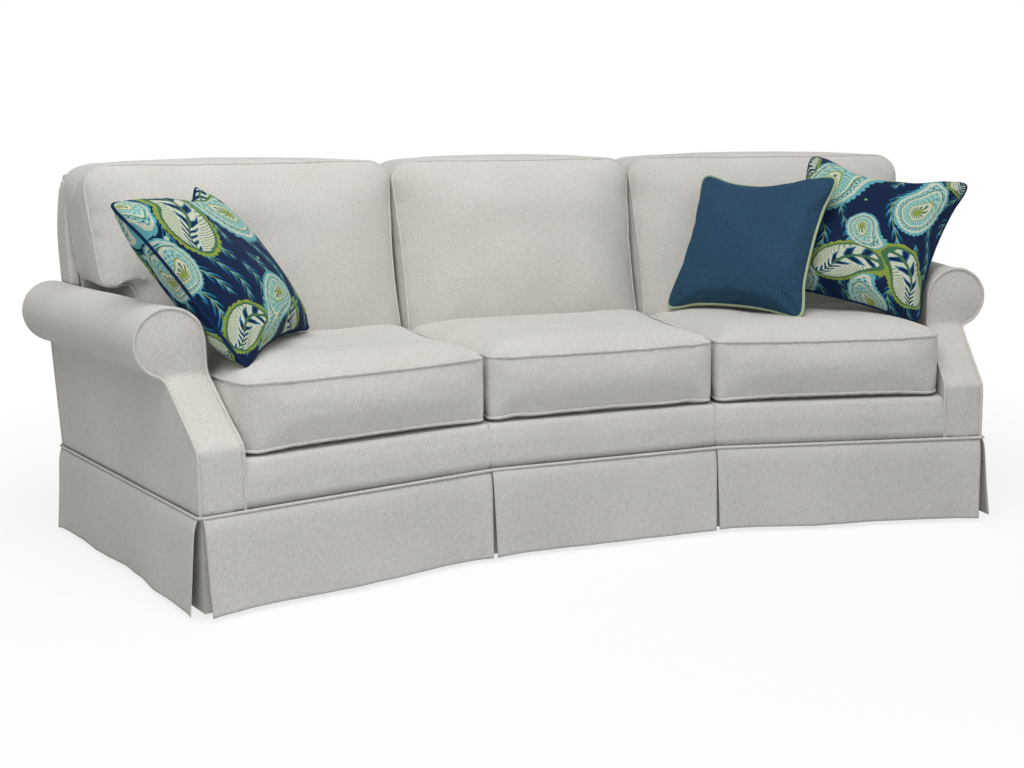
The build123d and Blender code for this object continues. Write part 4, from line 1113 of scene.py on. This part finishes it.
def leafy_print(name, seed):
    """A print of curled leaves, ferns, sprigs and small flowers on navy."""
    colors = bpy.context.scene.sofa_colors
    navy, blue, aqua, mint, lime, cream, green = (
        tuple(getattr(colors, key))
        for key in ("navy", "blue", "aqua", "mint", "lime", "cream", "green"))
    recipe = recipe_named(name)
    cut = recipe.add("UVMap", {}, uv_map="cut")
    shaky = recipe.add("TexNoise", {"Vector": cut, "Scale": 34.0, "Detail": 2.0}, output="Color")
    shaky = recipe.add("VectorMath", {0: shaky, 1: (0.5, 0.5, 0.5)}, operation="SUBTRACT")
    shaky = recipe.add("VectorMath", {0: shaky, "Scale": 0.012}, operation="SCALE")
    hand_drawn = recipe.add("VectorMath", {0: cut, 1: shaky}, operation="ADD")
    x, y = (recipe.add("SeparateXYZ", {0: hand_drawn}, output=axis) for axis in "XY")
    depth, angle, kind = leaf_fields(x, y, PRINT_LEAVES[seed])
    along, across = depth * cosine(angle), abs(depth * sine(angle))

    # The ground: fern sprigs with a stem and barbs, and small flowers
    stem = abs(sine(x * 26 + sine(y * 13) * 1.5 + seed))
    barbs = sine(y * 130 + stem * 10)
    sprigs = recipe.add("TexNoise", {"Vector": cut, "Scale": 5.0, "Detail": 0.0}).ramp(0.34, 0.42)
    flower = recipe.add(
        "TexVoronoi", {"Vector": cut, "Scale": 8.5, "Randomness": 0.8}, output="Distance")
    petals = flower + sine(x * 210) * sine(y * 210) * 0.02
    ground = recipe.layered(
        navy,
        (barbs.ramp(-0.2, 0.25) * stem.ramp(0.75, 0.6) * sprigs, blue),
        (barbs.ramp(0.55, 0.8) * stem.ramp(0.42, 0.3) * sprigs, aqua),
        (stem.ramp(0.085, 0.05) * sprigs, lime),
        (petals.ramp(0.125, 0.11), green),
        (petals.ramp(0.105, 0.09), mint),
        (petals.ramp(0.06, 0.05), cream),
        (petals.ramp(0.03, 0.022), lime))

    # Fern leaves: a pale ground with slanting lines, a vine and paired leaves
    lines = sine(along * 62 - across * 30)
    leaflets = sine(along * 23 - across * 26)
    fern = recipe.layered(
        cream,
        (lines.ramp(0.1, 0.7) * 0.7, green),
        (across.ramp(0.36, 0.34), cream),
        (leaflets.ramp(-0.3, 0.0) * across.ramp(0.33, 0.27), blue),
        (leaflets.ramp(0.35, 0.6) * across.ramp(0.25, 0.19), navy),
        (across.ramp(0.045, 0.025), green))

    # Dotted leaves: rows of small marks round a medallion
    marks = sine(angle * 26) * sine(depth * 44)
    dotted = recipe.layered(
        mint,
        (marks.ramp(0.0, 0.3), recipe.mixed((depth * 1.3) % 1.0, blue, aqua)),
        (abs(depth - 0.68).ramp(0.04, 0.028), cream),
        (abs(depth - 0.74).ramp(0.022, 0.012), green),
        (depth.ramp(0.42, 0.40), lime),
        (depth.ramp(0.38, 0.36), cream),
        (depth.ramp(0.30, 0.28) * sine(angle * 14).ramp(-0.2, 0.2), green),
        (depth.ramp(0.16, 0.14), lime))

    # The leaves in their toothed borders, on the ground, and the unevenness of the dye
    teeth = abs(sine(angle * 15)) * 0.07
    dyed = recipe.add("TexNoise", {"Vector": cut, "Scale": 90.0, "Detail": 2.0})
    color = recipe.layered(
        ground,
        ((depth - teeth).ramp(1.09, 1.06), recipe.mixed(kind, lime, aqua)),
        (depth.ramp(1.0, 0.98), recipe.mixed(kind, green, cream)),
        (depth.ramp(0.90, 0.88), recipe.mixed(kind, fern, dotted)),
        ((dyed - 0.5) * 0.5 + 0.08, navy))
    threads = recipe.grain(900, detail=1.0)
    return recipe.finish(
        color, 0.8, threads, 0.25, 0.001, Sheen_Weight=0.02, Specular_IOR_Level=0.1)


# Deck, lining, timber and metal

FINISHES = {  # by slot: how it is made, its name, its light and dark colour, and its roughness
    "frame_poplar": (timber, "sawn_poplar", (0.62, 0.50, 0.33, 1), (0.45, 0.34, 0.2, 1), 0.55),
    "plywood": (timber, "birch_plywood", (0.68, 0.54, 0.36, 1), (0.52, 0.38, 0.23, 1), 0.5),
    "dark_beech": (timber, "stained_beech", (0.17, 0.10, 0.06, 1), (0.07, 0.04, 0.025, 1), 0.3),
    "glide_nickel": (metal, "nickel_glide", (0.55, 0.54, 0.52, 1), (0.35, 0.34, 0.33, 1), 0.2),
    "spring_steel": (metal, "spring_wire", (0.38, 0.38, 0.4, 1), (0.2, 0.2, 0.21, 1), 0.3),
    "screw_zinc": (metal, "zinc_screw", (0.62, 0.62, 0.6, 1), (0.45, 0.44, 0.42, 1), 0.25),
}
TICKING = ("deck_ticking", (0.6, 0.57, 0.5, 1), (0.45, 0.42, 0.36, 1))
CAMBRIC = ("black_cambric", (0.03, 0.03, 0.032, 1), (0.012, 0.012, 0.013, 1))


class SOFA_OT_deck_and_lining(bpy.types.Operator):
    """The cloth deck over the springs and the dust cover below"""

    bl_idname = "sofa.deck_and_lining"
    bl_label = "Deck and lining"

    def execute(self, context):
        deck = copy_nodes("seat_deck_cover", "seat_deck")
        with_modifier(deck, "BEVEL", width=0.003, segments=2, limit_method="ANGLE")
        worn_by(deck, material(plain_cloth, *TICKING), "frame", "deck_cloth", "seat_deck")
        lining = copy_nodes("dust_cover_lining", "dust_cover")
        worn_by(lining, material(plain_cloth, *CAMBRIC), "frame", "black_lining", "dust_cover")
        return {"FINISHED"}


class SOFA_OT_timber_and_metal(bpy.types.Operator):
    """Finishes of the frame's own timber, springs, screws and glides"""

    bl_idname = "sofa.timber_and_metal"
    bl_label = "Timber and metal"

    def execute(self, context):
        for part in frame["record"]["subparts"]:
            words = FINISHES.get(part["material_slot"])
            if words:
                node = frame["nodes"][part["node"]]
                node.data.materials.clear()
                node.data.materials.append(material(*words))
        return {"FINISHED"}


WHITE = (1, 1, 1, 1)
LAMPS = (  # name, kind, place, size (an angle for the sun) and the setting of its strength
    ("key_lamp", "AREA", (-1.0, -1.6, 4.3), 3.2, "key"),
    ("fill_lamp", "AREA", (-2.4, -3.6, 1.7), 2.2, "fill"),
    ("side_light", "SUN", (7.9, -4.5, 4.3), 0.9, "side"),
)
LAMPS_AIM = Vector((0, 0, 0.4))
FLOOR_REACH = 14  # half its side


class SOFA_OT_studio(bpy.types.Operator):
    """Pale floor, soft lamps and the camera at the photographed angle"""

    bl_idname = "sofa.studio"
    bl_label = "Studio"

    def execute(self, context):
        scene = context.scene
        studio = scene.sofa_studio
        scene.view_settings.view_transform = "Standard"
        self.camera(scene, studio)
        self.world(scene, studio)
        for name, kind, place, size, strength in LAMPS:
            self.lamp(name, kind, place, size, getattr(studio, strength))
        self.floor()
        return {"FINISHED"}

    def camera(self, scene, studio):
        """The camera, turned, tilted and rolled."""
        data = bpy.data.cameras.new("studio_camera")
        data.lens = studio.lens
        data.shift_x, data.shift_y = studio.shift
        camera = new_piece("studio_camera", data)
        turned = Matrix.Rotation(-studio.camera_turn, 4, "Z")
        tilted = Matrix.Rotation(pi / 2 - studio.camera_tilt, 4, "X")
        rolled = Matrix.Rotation(studio.camera_roll, 4, "Z")
        camera.matrix_world = Matrix.Translation(studio.camera_place) @ turned @ tilted @ rolled
        scene.camera = camera

    def lamp(self, name, kind, place, size, power):
        """A wide lamp turned to the sofa."""
        data = bpy.data.lights.new(name, kind)
        setattr(data, "angle" if kind == "SUN" else "size", size)
        data.energy = power
        turn = (LAMPS_AIM - Vector(place)).to_track_quat("-Z", "Y").to_matrix().to_4x4()
        new_piece(name, data).matrix_world = Matrix.Translation(place) @ turn

    def world(self, scene, studio):
        """Even surroundings that the camera sees as white."""
        recipe = Recipe(bpy.data.worlds.new("surroundings"))
        camera, glossy, through = (
            recipe.add("LightPath", {}, output=f"Is {kind} Ray")
            for kind in ("Camera", "Glossy", "Transmission"))
        seen = camera.most(glossy).most(through)
        level = seen * (1 - studio.sky) + studio.sky
        sky = recipe.add("Background", {"Color": WHITE, "Strength": level})
        recipe.add("OutputWorld", {0: sky})
        scene.world = recipe.owner

    def floor(self):
        """A wide pale floor that keeps the sofa's shadow."""
        form = bmesh.new()
        bmesh.ops.create_grid(form, x_segments=1, y_segments=1, size=FLOOR_REACH)
        floor = formed_piece("studio_floor", form)
        recipe = recipe_named("pale_floor")
        speck = recipe.grain(3)
        pale, dull = (
            recipe.add("BsdfDiffuse", {"Color": recipe.mixed(speck, (a, a, a, 1), (b, b, b, 1))})
            for a, b in ((0.93, 0.96), (0.60, 0.64)))
        glow = recipe.add("Emission", {"Color": WHITE, "Strength": 1.0})
        path = recipe.add("LightPath", {}, output="Is Camera Ray")
        away = recipe.add(
            "VectorMath", {0: recipe.coordinates()}, output="Value", operation="LENGTH")
        seen = recipe.add("MixShader", {0: away.ramp(1.1, 2.6) * 0.2 + 0.8, 1: pale, 2: glow})
        recipe.add("OutputMaterial", {0: recipe.add("MixShader", {0: path, 1: dull, 2: seen})})
        floor.data.materials.append(recipe.owner)


class SOFA_PT_panel(bpy.types.Panel):
    """The sofa's steps and settings"""

    bl_label = "Sofa"
    bl_idname = "SOFA_PT_panel"
    bl_space_type = "VIEW_3D"
    bl_region_type = "UI"
    bl_category = "Sofa"

    def draw(self, context):
        for operator in OPERATORS:
            self.layout.operator(operator.bl_idname)
        for group in ("sofa_sizes", "sofa_colors", "sofa_studio"):
            settings = getattr(context.scene, group)
            for key in settings.bl_rna.properties.keys():
                if key not in ("rna_type", "name"):
                    self.layout.prop(settings, key)


OPERATORS = (
    SOFA_OT_seat_cushions,
    SOFA_OT_back_cushions,
    SOFA_OT_arms,
    SOFA_OT_front_border,
    SOFA_OT_back_covers,
    SOFA_OT_skirt,
    SOFA_OT_print_pillows,
    SOFA_OT_plain_pillow,
    SOFA_OT_deck_and_lining,
    SOFA_OT_timber_and_metal,
    SOFA_OT_studio,
)
GROUPS = {"sofa_sizes": SofaSizes, "sofa_colors": SofaColors, "sofa_studio": SofaStudio}


def register():
    for name, group in GROUPS.items():
        bpy.utils.register_class(group)
        setattr(bpy.types.Scene, name, bpy.props.PointerProperty(type=group))
    for operator in OPERATORS:
        bpy.utils.register_class(operator)
    bpy.utils.register_class(SOFA_PT_panel)


def unregister():
    bpy.utils.unregister_class(SOFA_PT_panel)
    for operator in reversed(OPERATORS):
        bpy.utils.unregister_class(operator)
    for name, group in reversed(GROUPS.items()):
        delattr(bpy.types.Scene, name)
        bpy.utils.unregister_class(group)


def main():
    """Make every piece."""
    register()
    for operator in OPERATORS:
        group, name = operator.bl_idname.split(".")
        getattr(getattr(bpy.ops, group), name)()


if __name__ == "__main__":
    main()
